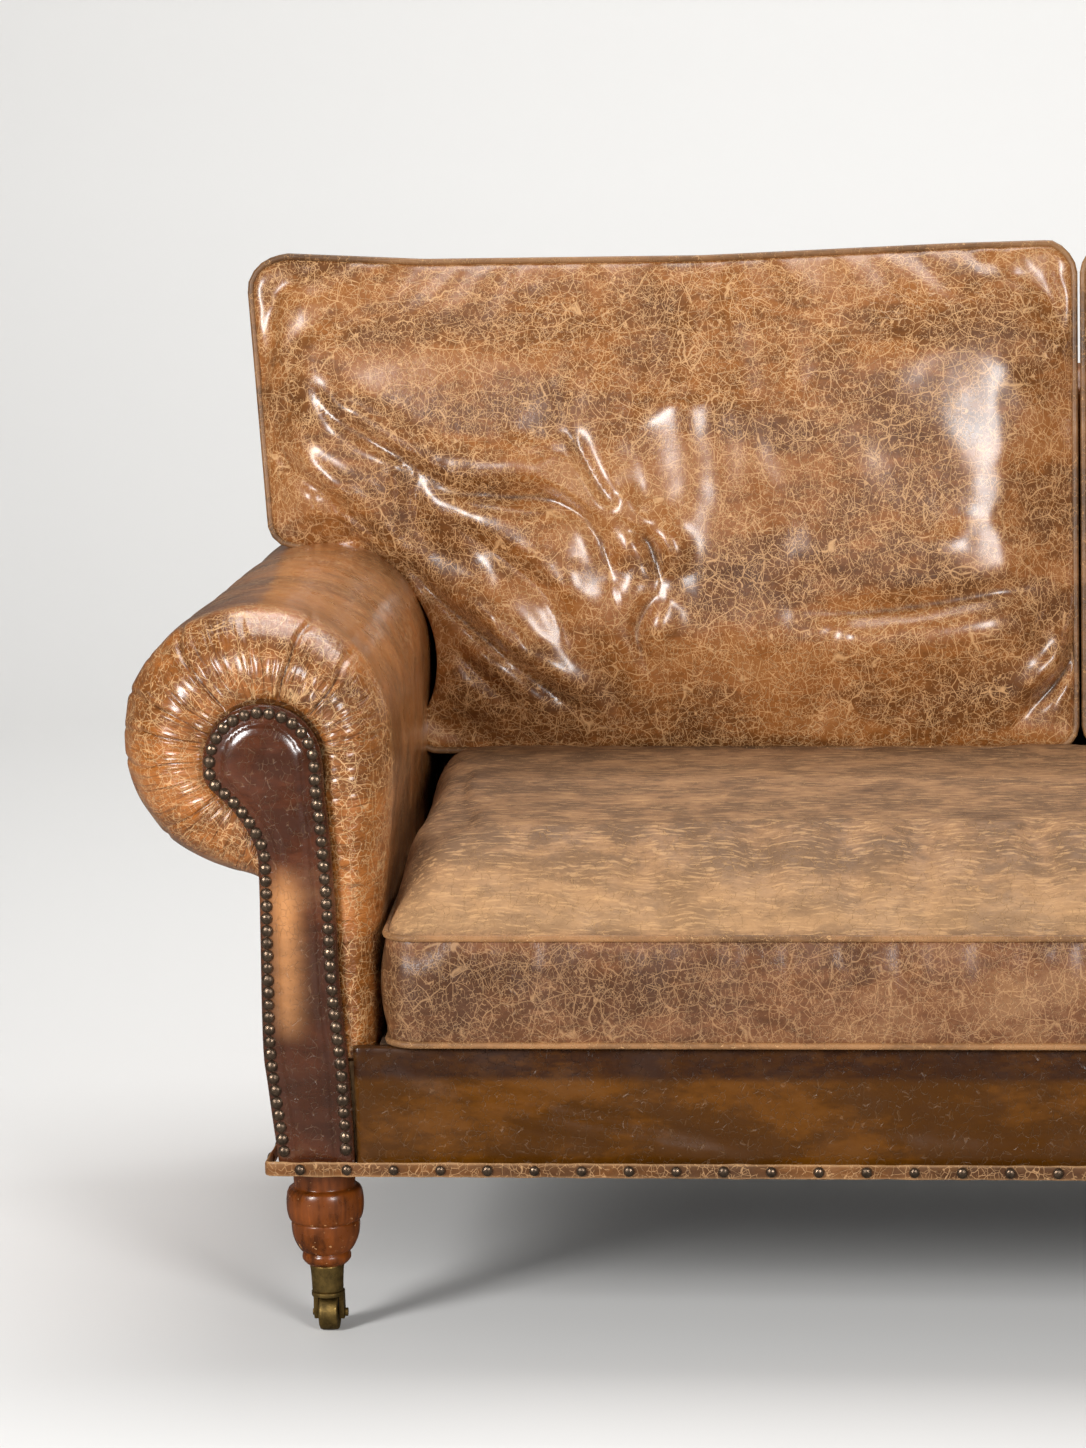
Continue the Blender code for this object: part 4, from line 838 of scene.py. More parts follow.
def webbing_cloth(name, base, pitch):
    """Plain woven cloth, its threads crossing along X and Y."""
    f = Finish(name)
    turns = 2 * math.pi / pitch
    parts = f.add("ShaderNodeSeparateXYZ", {0: f.where}).outputs
    warp = f.sum("SINE", f.sum("MULTIPLY", parts[0], turns))
    weft = f.sum("SINE", f.sum("MULTIPLY", f.sum("ADD", parts[1], parts[2]), turns))
    weave = f.sum("MULTIPLY", warp, weft)
    clouds = f.noise(f.where, 30.0, 4.0)
    colour = f.blend(f.spread(weave, -1.0, 1.0), shade(base, 0.6), shade(base, 1.15))
    colour = f.blend(f.spread(clouds, 0.4, 0.65, 0.0, 0.5), colour, shade(base, 0.7))
    return f.done(colour, 0.92, f.bump(weave, pitch * 0.3, 0.8))


# Cushions

class Cushion:
    """A boxed cushion lying in its own XY plane with its best face towards +Z."""

    def __init__(self, corners, cells, edge, crowns, swells, boxing_rows):
        outline, marks = rounded(corners)
        sides = []
        for k in range(4):
            start, end = marks[k], marks[(k + 1) % 4]
            wrapped = np.vstack((outline[start:], outline[: end + 1]))
            run = outline[start : end + 1] if end > start else wrapped
            sides.append(even_points(run, cells[k % 2]))
        across, up = cells
        u = np.linspace(0, 1, across + 1)[:, None, None]
        v = np.linspace(0, 1, up + 1)[None, :, None]
        bottom, right = sides[0][:, None], sides[1][None]
        top, left = sides[2][::-1][:, None], sides[3][::-1][None]
        ends = (bottom[:1] * (1 - u) + bottom[-1:] * u) * (1 - v) + (top[:1] * (1 - u) + top[-1:] * u) * v
        flat = bottom * (1 - v) + top * v + left * (1 - u) + right * u - ends
        (power_u, fullness_u), (power_v, fullness_v) = swells
        lift_u = (1 - np.abs(2 * u - 1) ** power_u) ** fullness_u
        lift_v = (1 - np.abs(2 * v - 1) ** power_v) ** fullness_v
        lift = lift_u * lift_v
        self.loop = [(i, 0) for i in range(across)] + [(across, j) for j in range(up)]
        self.loop += [(i, up) for i in range(across, 0, -1)] + [(0, j) for j in range(up, 0, -1)]
        self.ring = np.array([flat[i, j] for i, j in self.loop])
        self.edge = edge
        count = (across + 1) * (up + 1)
        key = {place: k for k, place in enumerate(np.ndindex(across + 1, up + 1))}
        faces_of_grid = np.array(grid_faces(across + 1, up + 1))
        front = np.concatenate((flat, edge / 2 + lift * crowns[0]), -1).reshape(-1, 3)
        rear = np.concatenate((flat, -edge / 2 - lift * crowns[1]), -1).reshape(-1, 3)
        points, faces = [front, rear], faces_of_grid.tolist() + (faces_of_grid[:, ::-1] + count).tolist()
        rings = [[key[place] for place in self.loop]]
        start = 2 * count
        for k in range(1, boxing_rows):
            t = k / boxing_rows
            ring = offset_loop(self.ring, 0.0025 * math.sin(math.pi * t))
            points.append(np.column_stack((ring, np.full(len(ring), edge * (0.5 - t)))))
            rings.append(list(range(start, start + len(ring))))
            start += len(ring)
        rings.append([count + key[place] for place in self.loop])
        for near, far in zip(rings, rings[1:]):
            faces += [(near[k - 1], far[k - 1], far[k], near[k]) for k in range(len(near))]
        self.points, self.faces = np.vstack(points), faces
        self.seams = rings[0] + rings[-1]

    def piping(self, side):
        """Line of the piping on one of the seams, 1 in front and -1 behind."""
        ring = offset_loop(self.ring, 0.0006)
        return np.column_stack((ring, np.full(len(ring), side * self.edge / 2)))


COVER_LEATHER = {
    "quality": 4,
    "mass": 0.4,
    "tension_stiffness": 12.0,
    "compression_stiffness": 12.0,
    "shear_stiffness": 6.0,
    "bending_stiffness": 1.2,
    "use_pressure": True,
    "uniform_pressure_force": 4.0,
}
STUFFING_STEPS = 20
FACE_CAP = 0.022


def stuff(made, seams, looseness, caps):
    """Blows a sewn cover up over its filling with Cloth, its seams held, no point moving past its cap."""
    start = points_of(made)
    held = made.vertex_groups.new(name="seams")
    held.add([int(k) for k in seams], 1.0, "REPLACE")
    cloth = made.modifiers.new("stuffing", "CLOTH")
    for name, value in COVER_LEATHER.items():
        setattr(cloth.settings, name, value)
    cloth.settings.shrink_min = -looseness
    cloth.settings.vertex_group_mass = "seams"
    cloth.settings.effector_weights.gravity = 0.0
    cloth.collision_settings.use_collision = False
    scene = bpy.context.scene
    for step in range(1, STUFFING_STEPS + 1):
        scene.frame_set(step)
    apply_modifiers(made)
    scene.frame_set(1)
    made.vertex_groups.clear()
    move = points_of(made) - start
    length = np.linalg.norm(move, axis=1)
    share = np.minimum(1.0, caps / np.maximum(length, 1e-9))
    set_points(made, start + move * share[:, None])


def press_creases(made, creases, swells=()):
    """Shapes a face by creases (path, depth, width, ridge, side) and swells (path, height, width)."""
    points = points_of(made)
    facing = np.clip(normals_of(made)[:, 2], 0, 1) ** 0.5
    lift = np.zeros(len(points))
    wander = 0.0035 * lumps(points, 38.0, 2.0) + 0.0050 * lumps(points, 15.0, 9.0)
    uneven = 1 + 0.4 * lumps(points, 16.0, 5.0)
    for path, depth, width, ridge, side in creases:
        distance, hand, share = path_distance(points[:, :2], smooth_path(path, 6))
        distance = np.abs(distance + wander * np.clip(distance / (2 * width), 0, 1))
        taper = np.sin(math.pi * np.clip(share, 0.02, 0.98)) ** 0.6
        signed = distance * hand * side
        groove = np.exp(-((distance / width) ** 2)) * 0.7 + np.exp(-distance / (0.5 * width)) * 0.3
        bank = np.exp(-(((signed - 2.5 * width) / (2.0 * width)) ** 2))
        far = np.exp(-(((signed + 2.5 * width) / (2.4 * width)) ** 2)) * 0.4
        lift += depth * taper * (ridge * uneven * (bank + far) - groove)
    for path, height, width in swells:
        distance = path_distance(points[:, :2], smooth_path(path, 6))[0]
        lift += height * uneven * np.exp(-(((distance + wander) / width) ** 2))
    points[:, 2] += lift * facing
    set_points(made, points)


# Folds and hollows of the back and seat, placed in their own outlines as the photograph shows them
BACK_CREASES = (
    (((-0.850, 0.400), (-0.824, 0.370), (-0.766, 0.334), (-0.708, 0.300)), 0.011, 0.0070, 0.9, 1),
    (
        (
            (-0.730, 0.302), (-0.690, 0.288), (-0.630, 0.282),
            (-0.575, 0.276), (-0.535, 0.245), (-0.516, 0.190),
        ),
        0.017, 0.0125, 1.0, 1,
    ),
    (
        ((-0.905, 0.345), (-0.880, 0.318), (-0.840, 0.286), (-0.796, 0.251), (-0.770, 0.222)),
        0.010, 0.0070, 0.9, 1,
    ),
    (((-0.562, 0.355), (-0.548, 0.322), (-0.524, 0.284), (-0.500, 0.262)), 0.014, 0.0100, 1.0, -1),
    (((-0.498, 0.250), (-0.474, 0.228), (-0.462, 0.186)), 0.013, 0.0080, 1.0, 1),
    (((-0.466, 0.176), (-0.488, 0.136), (-0.478, 0.090)), 0.012, 0.0090, 0.9, 1),
    (
        ((-0.748, 0.205), (-0.721, 0.176), (-0.658, 0.123), (-0.596, 0.072), (-0.545, 0.040)),
        0.016, 0.0075, 1.0, 1,
    ),
    (((-0.700, 0.120), (-0.660, 0.080), (-0.620, 0.050)), 0.009, 0.0090, 0.9, 1),
    (((-0.690, 0.250), (-0.640, 0.215), (-0.585, 0.165), (-0.565, 0.110)), 0.010, 0.0130, 0.9, 1),
    (((-0.310, 0.150), (-0.237, 0.150), (-0.143, 0.162), (-0.040, 0.180)), 0.013, 0.0150, 1.0, -1),
    (((-0.052, 0.045), (-0.032, 0.066), (-0.014, 0.094), (-0.006, 0.135)), 0.010, 0.0065, 1.0, 1),
)
BACK_SWELLS = (
    (((-0.500, 0.268), (-0.484, 0.250)), 0.010, 0.012),
    (((-0.438, 0.375), (-0.430, 0.300), (-0.440, 0.230)), 0.005, 0.024),
    (((-0.365, 0.360), (-0.355, 0.300)), 0.004, 0.026),
    (((-0.300, 0.350), (-0.250, 0.320)), 0.004, 0.034),
    (((-0.190, 0.400), (-0.150, 0.350), (-0.120, 0.300)), 0.005, 0.044),
    (((-0.290, 0.225), (-0.220, 0.235), (-0.140, 0.225)), 0.005, 0.028),
    (((-0.870, 0.490), (-0.850, 0.420), (-0.830, 0.370)), 0.006, 0.030),
    (((-0.655, 0.165), (-0.630, 0.145), (-0.615, 0.110)), 0.009, 0.022),
    (((-0.600, 0.215), (-0.570, 0.180)), 0.006, 0.024),
)


BACK_ALONG = 0.16904
BACK_LOWEST = -0.0042
MIDDLE_GAP = 0.0012
PIPE_STAND_OFF = 0.0015


def back_cushion_corners():
    """Outline of the left back cushion, which stands between the arms with an ear over the arm."""
    low_outer = arm_face(POST_FOOT) - 0.00225
    arm_top = RAIL_HIGH + OUTER_BACK["centre"][1] + OUTER_BACK["radii"][4]
    ear = (arm_top - raked(BACK_ALONG, BACK_FORWARD)[1]) / math.cos(RAKE)
    inner = 0.0054
    return [
        (-low_outer, 0, EAR_CORNER),
        (-inner, 0, EAR_CORNER),
        (-inner, BACK_HEIGHT + 0.008, EAR_CORNER),
        (-FRAME_HALF - EAR_TOP, BACK_HEIGHT, EAR_CORNER),
        (-FRAME_HALF - EAR_LOW, ear + 0.0045, EAR_CORNER),
        (-low_outer - 0.0045, ear - 0.018, NOTCH_ROUND),
    ]


def lift_off_arm(points, gap):
    """Moves points that lie inside the left arm out to its surface, away from the scroll's centre."""
    depth = points[:, 1] - FRONT
    flat = depth.copy()
    for _ in range(4):
        flat = depth - (leant_depth(flat, points[:, 2]) - flat)
    share = np.clip(flat / POST_FOOT, 0, 1)
    found = points.copy()
    outlines = [smooth_path(scroll_points(o), 6) for o in (OUTER_FRONT, OUTER_BACK)]
    centres = [from_corner(*o["centre"]) for o in (OUTER_FRONT, OUTER_BACK)]
    centre = centres[0] * (1 - share)[:, None] + centres[1] * share[:, None]
    reach = points[:, (0, 2)] - centre
    angle = np.degrees(np.arctan2(reach[:, 1], reach[:, 0]))
    angle = np.where(angle < -100, angle + 360, angle)
    radius = np.zeros((2, len(points)))
    for k, (outline, middle) in enumerate(zip(outlines, centres)):
        spokes = outline - middle
        turns = np.degrees(np.arctan2(spokes[:, 1], spokes[:, 0]))
        turns = np.where(turns < -100, turns + 360, turns)
        radius[k] = np.interp(angle, turns, np.linalg.norm(spokes, axis=1))
    wanted = radius[0] * (1 - share) + radius[1] * share + gap
    length = np.linalg.norm(reach, axis=1)
    inside = (length < wanted) & (angle > -75) & (points[:, 0] < 0)
    moved = centre + reach * (wanted / np.maximum(length, 1e-6))[:, None]
    found[inside, 0] = moved[inside, 0]
    found[inside, 2] = moved[inside, 1]
    return found


def mark_dark_patches(made, spots=(), plane=(0, 1)):
    """Writes the darkened places: (place, radius, strength) in two of the piece's coordinates."""
    points = points_of(made)[:, plane]
    value = np.zeros(len(points))
    for (x, y), radius, strength in spots:
        distance = np.linalg.norm(points - (x, y), axis=1)
        value = np.maximum(value, strength * np.exp(-((distance / radius) ** 2)))
    write_attribute(made, "soil", value)


def sag(points):
    """How far the top of the left back cushion sinks or lifts along its length, in its own plane."""
    places = (-0.930, -0.889, -0.731, -0.418, -0.141, -0.031, 0.0)
    lifts = (-0.004, 0.008, -0.002, -0.005, 0.002, 0.003, -0.008)
    share = np.clip(points[:, 1] / BACK_HEIGHT, 0, 1) ** 5
    return np.interp(points[:, 0], places, lifts) * share


def make_back_cushions(finish):
    s = sizes()
    crowns = (s.back_crown * 0.75, BACK_REAR_CROWN * 0.8)
    shape = Cushion(back_cushion_corners(), (96, 58), BACK_EDGE, crowns, BACK_SWELL, 14)
    made = make_piece("back_cushion_cover_left", shape.points, shape.faces, finish["back"])
    boxing = np.abs(shape.points[:, 2]) < BACK_EDGE / 2 - 1e-4
    stuff(made, shape.seams, 0.030, np.where(boxing, 0.005, FACE_CAP))
    refine(made)
    press_creases(made, BACK_CREASES, BACK_SWELLS)
    points = points_of(made)
    crown = np.clip(np.abs(points[:, 2]) / (BACK_EDGE / 2) - 1, 0, 0.3) / 0.3
    points[:, 2] += (0.0028 * lumps(points, 7.0, 3.0) + 0.0006 * lumps(points, 21.0, 8.0)) * crown
    highest = BACK_EDGE / 2 + s.back_crown + 0.026
    points[:, 2] = np.clip(points[:, 2], -BACK_EDGE / 2 - BACK_REAR_CROWN, highest)
    points[:, 1] = np.maximum(points[:, 1], BACK_LOWEST)
    points[:, 0] = np.minimum(points[:, 0], -MIDDLE_GAP)
    stand = Matrix.Rotation(math.pi / 2 - RAKE, 4, "X")
    depth, height = raked(BACK_ALONG, BACK_FORWARD)
    into = stand.to_3x3() @ Vector((0, 0, -BACK_EDGE / 2))
    place = np.array(Matrix.Translation(Vector((0, depth + FRONT, height)) + into) @ stand)

    def stood(flat, gap):
        flat = flat.copy()
        flat[:, 1] += sag(flat)
        return lift_off_arm(flat @ place[:3, :3].T + place[:3, 3], gap)

    set_points(made, stood(points, 0.002))
    mark_curvature(made)
    pipes = []
    for side in (1, -1):
        line = stood(shape.piping(side), s.piping + PIPE_STAND_OFF)
        pipes.append(tube("pipe", line, s.piping, finish["piping"]))
    piping = join_pieces("back_cushion_piping_left", pipes)
    mark_curvature(piping, 0.002)
    for left, nodes, fill in ((made, ("back_cushion_",), 0.55), (piping, (), None)):
        right = mirror_piece(left, left.name.replace("left", "right"))
        for twin, name in ((left, "left"), (right, "right")):
            settle(twin, "back_leather", *[node + name for node in nodes], fill=fill)


SEAT_CREASES = (
    (((-0.700, -0.004), (-0.640, 0.180), (-0.561, 0.400), (-0.422, 0.520)), 0.006, 0.022, 0.8, 1),
    (((-0.735, 0.560), (-0.700, 0.470), (-0.690, 0.360)), 0.006, 0.010, 0.7, 1),
    (((-0.700, 0.560), (-0.672, 0.470), (-0.660, 0.380)), 0.005, 0.009, 0.7, 1),
    (((-0.350, 0.380), (-0.200, 0.300), (0.020, 0.260)), 0.004, 0.024, 0.6, -1),
    (((0.150, 0.080), (0.330, 0.160), (0.560, 0.150)), 0.005, 0.024, 0.7, 1),
    (((0.420, 0.460), (0.560, 0.360), (0.690, 0.330)), 0.006, 0.020, 0.7, -1),
    (((0.730, 0.540), (0.696, 0.450), (0.680, 0.340)), 0.005, 0.010, 0.7, 1),
)
SEAT_STAINS = (
    ((-0.224, -0.160), 0.020, 0.75),
    ((-0.200, -0.150), 0.009, 0.6),
    ((-0.250, -0.176), 0.008, 0.5),
    ((-0.090, -0.296), 0.018, 0.6),
    ((-0.120, -0.280), 0.008, 0.5),
    ((-0.380, -0.120), 0.030, 0.3),
    ((-0.675, -0.342), 0.034, 0.45),
    ((-0.640, -0.060), 0.060, 0.35),
    ((0.310, -0.200), 0.024, 0.5),
    ((0.560, -0.100), 0.050, 0.35),
)


def make_seat_cushion(finish):
    s = sizes()
    front_half, rear_half = arm_face(0) - SEAT_GAP, arm_face(SEAT_REAR) - SEAT_GAP
    corners = [
        (-front_half, -SEAT_OVERHANG, SEAT_CORNER),
        (front_half, -SEAT_OVERHANG, SEAT_CORNER),
        (rear_half, SEAT_REAR, SEAT_CORNER),
        (-rear_half, SEAT_REAR, SEAT_CORNER),
    ]
    shape = Cushion(corners, (124, 66), SEAT_EDGE, (s.seat_crown * 0.90, 0.0), SEAT_SWELL, 10)
    made = make_piece("seat_cushion_cover", shape.points, shape.faces, finish["seat"])
    made.data.materials.append(finish["seat_side"])
    flat_face = np.flatnonzero(shape.points[:, 2] <= -SEAT_EDGE / 2 + 1e-6)
    boxing = np.abs(shape.points[:, 2]) < SEAT_EDGE / 2 - 1e-4
    held = [*shape.seams, *flat_face.tolist()]
    stuff(made, held, 0.02, np.where(boxing, 0.006, FACE_CAP))
    refine(made)
    press_creases(made, SEAT_CREASES)
    points = points_of(made)
    crown = np.clip(points[:, 2] / (SEAT_EDGE / 2) - 1, 0, 0.3) / 0.3
    points[:, 2] += (0.004 * lumps(points, 6.0, 11.0) + 0.0014 * lumps(points, 16.0, 6.0)) * crown
    middle, edge = SEAT_LOW + SEAT_EDGE / 2, SEAT_LOW + SEAT_EDGE
    points[:, 1] += FRONT
    points[:, 2] = np.maximum(points[:, 2], -SEAT_EDGE / 2) + middle
    crest = edge + s.seat_crown
    sunk = np.clip((points[:, 1] - FRONT - 0.40) / 0.12, 0, 1)
    points[:, 2] = np.minimum(points[:, 2], crest + 0.006 * (1 - sunk) - 0.0005)
    beside_arm = np.clip((np.abs(points[:, 0]) - rear_half + 0.17) / 0.12, 0, 1)
    beside_arm *= np.clip((points[:, 1] - FRONT - 0.06) / 0.14, 0, 1)
    rise = np.clip((points[:, 2] - edge) / s.seat_crown, 0, 1)
    points[:, 2] += s.seat_crown * (1 - (1 - rise) ** (1 + 1.3 * beside_arm) - rise)
    set_points(made, points)
    # The boxing's faces take the seat_side leather, darker and redder than the top: partly its own colour,
    # partly painted shade on the upright faces.
    faces = np.zeros(len(made.data.polygons) * 3)
    made.data.polygons.foreach_get("center", faces)
    sides = faces.reshape(-1, 3)[:, 2] < edge - 0.0015
    made.data.polygons.foreach_set("material_index", sides.astype(np.int32))
    # Paler along the top's front edge.
    front = points[:, 1] - FRONT + SEAT_OVERHANG
    near = np.exp(-((front / 0.085) ** 2)) * np.clip((points[:, 2] - edge) / 0.01, 0, 1)
    write_attribute(made, "rub", 0.6 * near)
    mark_curvature(made)
    mark_dark_patches(made, SEAT_STAINS)
    settle(made, "seat_leather", "seat_cushion", fill=0.6)
    pipes = []
    for side in (1, -1):
        line = shape.piping(side)
        line[:, 1] += FRONT
        line[:, 2] += middle + (s.piping if side < 0 else 0)
        pipes.append(tube("pipe", line, s.piping, finish["seat_piping"]))
    piping = join_pieces("seat_cushion_piping", pipes)
    mark_curvature(piping, 0.002)
    settle(piping, "seat_leather")


# Arms

ARM_SAMPLES = 24
SMALL_PLEATS = 56
RIM_TRAVEL = 0.075


def rim_pleats(rng):
    """Pleats round an arm's rim: (place round the outline from 0 to 1, half width, depth, reach)."""
    named = [
        (0.300, 0.0042, 0.0050, 0.075),
        (0.390, 0.0040, 0.0060, 0.085),
        (0.462, 0.0046, 0.0085, 0.105),
        (0.530, 0.0038, 0.0050, 0.060),
        (0.602, 0.0044, 0.0080, 0.100),
        (0.652, 0.0032, 0.0060, 0.080),
        (0.684, 0.0034, 0.0075, 0.105),
        (0.716, 0.0030, 0.0065, 0.085),
        (0.752, 0.0034, 0.0065, 0.100),
        (0.850, 0.0042, 0.0060, 0.090),
    ]
    places = np.linspace(0.22, 0.97, SMALL_PLEATS) + rng.uniform(-0.008, 0.008, SMALL_PLEATS)
    for q in places:
        named.append((q, rng.uniform(0.0018, 0.0032), rng.uniform(0.0010, 0.0034), rng.uniform(0.020, 0.058)))
    return named


def grid_normals(grid):
    """Unit normals of a grid of points, from its rows and columns."""
    found = np.cross(np.gradient(grid, axis=0), np.gradient(grid, axis=1))
    return found / np.maximum(np.linalg.norm(found, axis=2), 1e-9)[..., None]


def make_arms(finish):
    s = sizes()
    rng = np.random.default_rng(s.seed)
    rim_turns = np.linspace(0, math.pi / 2, 30)
    rest = np.linspace(ARM_RIM, POST_FOOT - 2 * CLEAR, 60)[1:]
    rows, travel = [], []
    for turn in rim_turns:
        depth = ARM_RIM * (1 - math.cos(turn))
        outer = section(OUTER_FRONT, OUTER_BACK, depth, ARM_SAMPLES)
        hollow = section(HOLLOW_FRONT, HOLLOW_BACK, depth, ARM_SAMPLES)
        puffed = depth + 0.0004 - s.arm_puff * math.sin(math.pi * min(1.0, turn / 1.15)) ** 0.8
        flat = hollow + (outer - hollow) * (0.10 + 0.90 * math.sin(turn))
        rows.append(np.column_stack((flat[:, 0], np.full(len(flat), puffed), flat[:, 1])))
        travel.append(turn * RIM_TRAVEL)
    for depth in rest:
        flat = section(OUTER_FRONT, OUTER_BACK, depth, ARM_SAMPLES)
        rows.append(np.column_stack((flat[:, 0], leant_depth(depth, flat[:, 1]), flat[:, 1])))
        travel.append(math.pi / 2 * RIM_TRAVEL + depth - ARM_RIM)
    grid, travel = np.array(rows), np.array(travel)
    count_rows, columns = grid.shape[:2]
    normals = grid_normals(grid)
    if normals[40, columns // 2, 2] < 0:
        normals = -normals
    place = np.linspace(0, 1, columns)
    girth = np.linalg.norm(np.diff(grid[30], axis=0), axis=1).sum()
    lift = np.zeros((count_rows, columns))
    for q, width, depth, reach in rim_pleats(rng):
        wander = 0.0065 * np.sin(travel / 0.034 + q * 37) + 0.0016 * np.sin(travel / 0.010 + q * 90)
        offset = (place[None] - q) * girth + wander[:, None]
        fade = np.exp(-((travel / reach) ** 2)) * (1 - np.exp(-travel / 0.004))
        groove = 0.55 * np.exp(-np.abs(offset) / (0.7 * width)) + 0.6 * np.exp(-((offset / width) ** 2))
        lift += depth * fade[:, None] * (0.50 * np.exp(-((offset / (3.4 * width)) ** 2)) - groove)
    flat_grid = grid.reshape(-1, 3)
    soft = lumps(flat_grid, 11.0) + 0.4 * lumps(flat_grid, 31.0)
    lift += 0.0024 * soft.reshape(count_rows, columns) * np.clip(travel / 0.05, 0, 1)[:, None]
    edge_fade = np.minimum(1, np.minimum(place / 0.05, (1 - place) / 0.02))
    rear_fade = np.clip((travel[-1] - travel) / 0.05, 0, 1)
    grid = grid + normals * (lift * edge_fade[None] * rear_fade[:, None])[..., None]
    points = [grid.reshape(-1, 3)]
    faces = grid_faces(count_rows, columns)
    hollow_depths = np.linspace(0, POST_FOOT - 2 * CLEAR, 7)
    start = count_rows * columns
    for depth in hollow_depths:
        flat = section(HOLLOW_FRONT, HOLLOW_BACK, depth, ARM_SAMPLES)
        points.append(np.column_stack((flat[:, 0], leant_depth(depth, flat[:, 1]), flat[:, 1])))
    faces += [face[::-1] for face in grid_faces(len(hollow_depths), columns, start)]
    last_outer, last_hollow = (count_rows - 1) * columns, start + (len(hollow_depths) - 1) * columns
    for k in range(columns - 1):
        faces.append((k, start + k, start + k + 1, k + 1))
        faces.append((last_outer + k, last_outer + k + 1, last_hollow + k + 1, last_hollow + k))
    for column in (0, columns - 1):
        outer_edge = [row * columns + column for row in range(count_rows)]
        inner_edge = [start + row * columns + column for row in range(len(hollow_depths))]
        faces.append(tuple(outer_edge + inner_edge[::-1]))
    points = np.vstack(points)
    points[:, 1] += FRONT
    made = make_piece("arm_padding_left", points, faces, finish["arm"])
    mark_curvature(made, 0.008, 1)
    spare = np.zeros(len(points) - start)
    write_attribute(made, "around", np.concatenate((np.tile(place * girth, count_rows), spare)))
    write_attribute(made, "travel", np.concatenate((np.repeat(travel, columns), spare)))
    right = mirror_piece(made, "arm_padding_right")
    for name, piece in (("left", made), ("right", right)):
        settle(piece, "arm_leather", "arm_cover_" + name, fill=0.8)


def panel_outline():
    """Keyhole outline of the left arm's facing panel, anticlockwise from its lower right corner."""
    arc = around(from_corner(*PANEL_CENTRE), [PANEL_RADIUS] * len(PANEL_ARC), PANEL_ARC)
    right = [from_corner(*p) for p in PANEL_RIGHT]
    left = [from_corner(*p) for p in PANEL_LEFT]
    return smooth_path(np.vstack((right, arc, left)), 6)


def make_arm_panels(finish):
    s = sizes()
    outline = panel_outline()
    low, high = outline[:, 1].min() + 1e-5, outline[:, 1].max() - 1e-5
    top = int(np.argmax(outline[:, 1]))
    right, left = outline[: top + 1], outline[top:][::-1]
    columns, rows = 41, 150
    heights = high - (high - low) * (1 - np.cos(np.linspace(0, math.pi, rows))) / 2
    heights = 0.5 * heights + 0.5 * np.linspace(high, low, rows)
    x_right = np.interp(heights, *monotone(right))
    x_left = np.interp(heights, *monotone(left))
    share = (1 - np.cos(np.linspace(0, math.pi, columns))) / 2
    share = 0.5 * share + 0.5 * np.linspace(0, 1, columns)
    x = x_left[:, None] * (1 - share) + x_right[:, None] * share
    z = np.repeat(heights[:, None], columns, 1)
    flat = np.column_stack((x.ravel(), z.ravel()))
    closed = np.vstack((outline, outline[:1]))
    distance = path_distance(flat, closed)[0]
    inner = 2 * s.nail_inset + 0.0015
    dome = s.panel_dome * np.clip((distance - inner) / 0.012, 0, 1) ** 0.6
    welt = 0.0016 * np.exp(-(((distance - inner + 0.001) / 0.0012) ** 2))
    roll = -0.0035 * np.exp(-((distance / 0.0022) ** 2))
    groove = -0.0016 * np.exp(-(((distance - inner - 0.0016) / 0.0010) ** 2))
    waves = 0.0007 * lumps(np.column_stack((flat, np.zeros(len(flat)))), 24.0, 5.0)
    y = PANEL_FRONT - dome - welt - roll - groove + waves
    band_room = BAND_TOP + 0.001
    y = np.where(flat[:, 1] < band_room, np.maximum(y, PANEL_FRONT), y)
    front = np.column_stack((flat[:, 0], y, flat[:, 1]))
    panel = closed_sheet("arm_facing_left", front, len(heights), columns, PANEL_BACK, finish["panel"])
    mark_curvature(panel, 0.002)
    points = points_of(panel)
    # Painted highlight: a pale streak down the middle of the panel's shaft.
    shaft = np.exp(-(((points[:, 0] + FRAME_HALF - 0.006) / 0.015) ** 2))
    level = points[:, 2] - RAIL_HIGH
    shaft *= np.clip((level - 0.02) / 0.03, 0, 1) * np.clip((0.21 - level) / 0.04, 0, 1)
    write_attribute(panel, "rub", 0.95 * shaft)
    # A darker patch low on the panel.
    mark_dark_patches(panel, (((-FRAME_HALF + 0.020, RAIL_HIGH - 0.03), 0.075, 0.55),), (0, 2))
    line = inset_line(outline, s.nail_inset)
    line = line[line[:, 1] > BAND_TOP + s.nail_radius]
    path = np.column_stack((line[:, 0], np.full(len(line), PANEL_FRONT + FRONT), line[:, 1]))
    flat = (1, s.nail_height / s.nail_radius, 1)
    heads = nail_row("arm_nails_left", path, s.nail_pitch, s.nail_radius, flat, finish["nail"], s.seed)
    for piece, slot in ((panel, "panel_leather"), (heads, "aged_brass")):
        right_piece = mirror_piece(piece, piece.name.replace("left", "right"))
        for name, twin in (("left", piece), ("right", right_piece)):
            if "facing" in twin.name:
                settle(twin, slot, "arm_panel_" + name, fill=0.9)
            else:
                settle(twin, slot)


def monotone(points):
    """Heights in rising order with their x, for interpolation."""
    order = np.argsort(points[:, 1])
    return points[order, 1], points[order, 0]


def inset_line(outline, distance):
    """An open outline, drawn anticlockwise, moved inwards."""
    ahead = np.gradient(outline, axis=0)
    ahead /= np.linalg.norm(ahead, axis=1)[:, None]
    return outline + np.stack((-ahead[:, 1], ahead[:, 0]), 1) * distance


# Rows of nails by Geometry Nodes

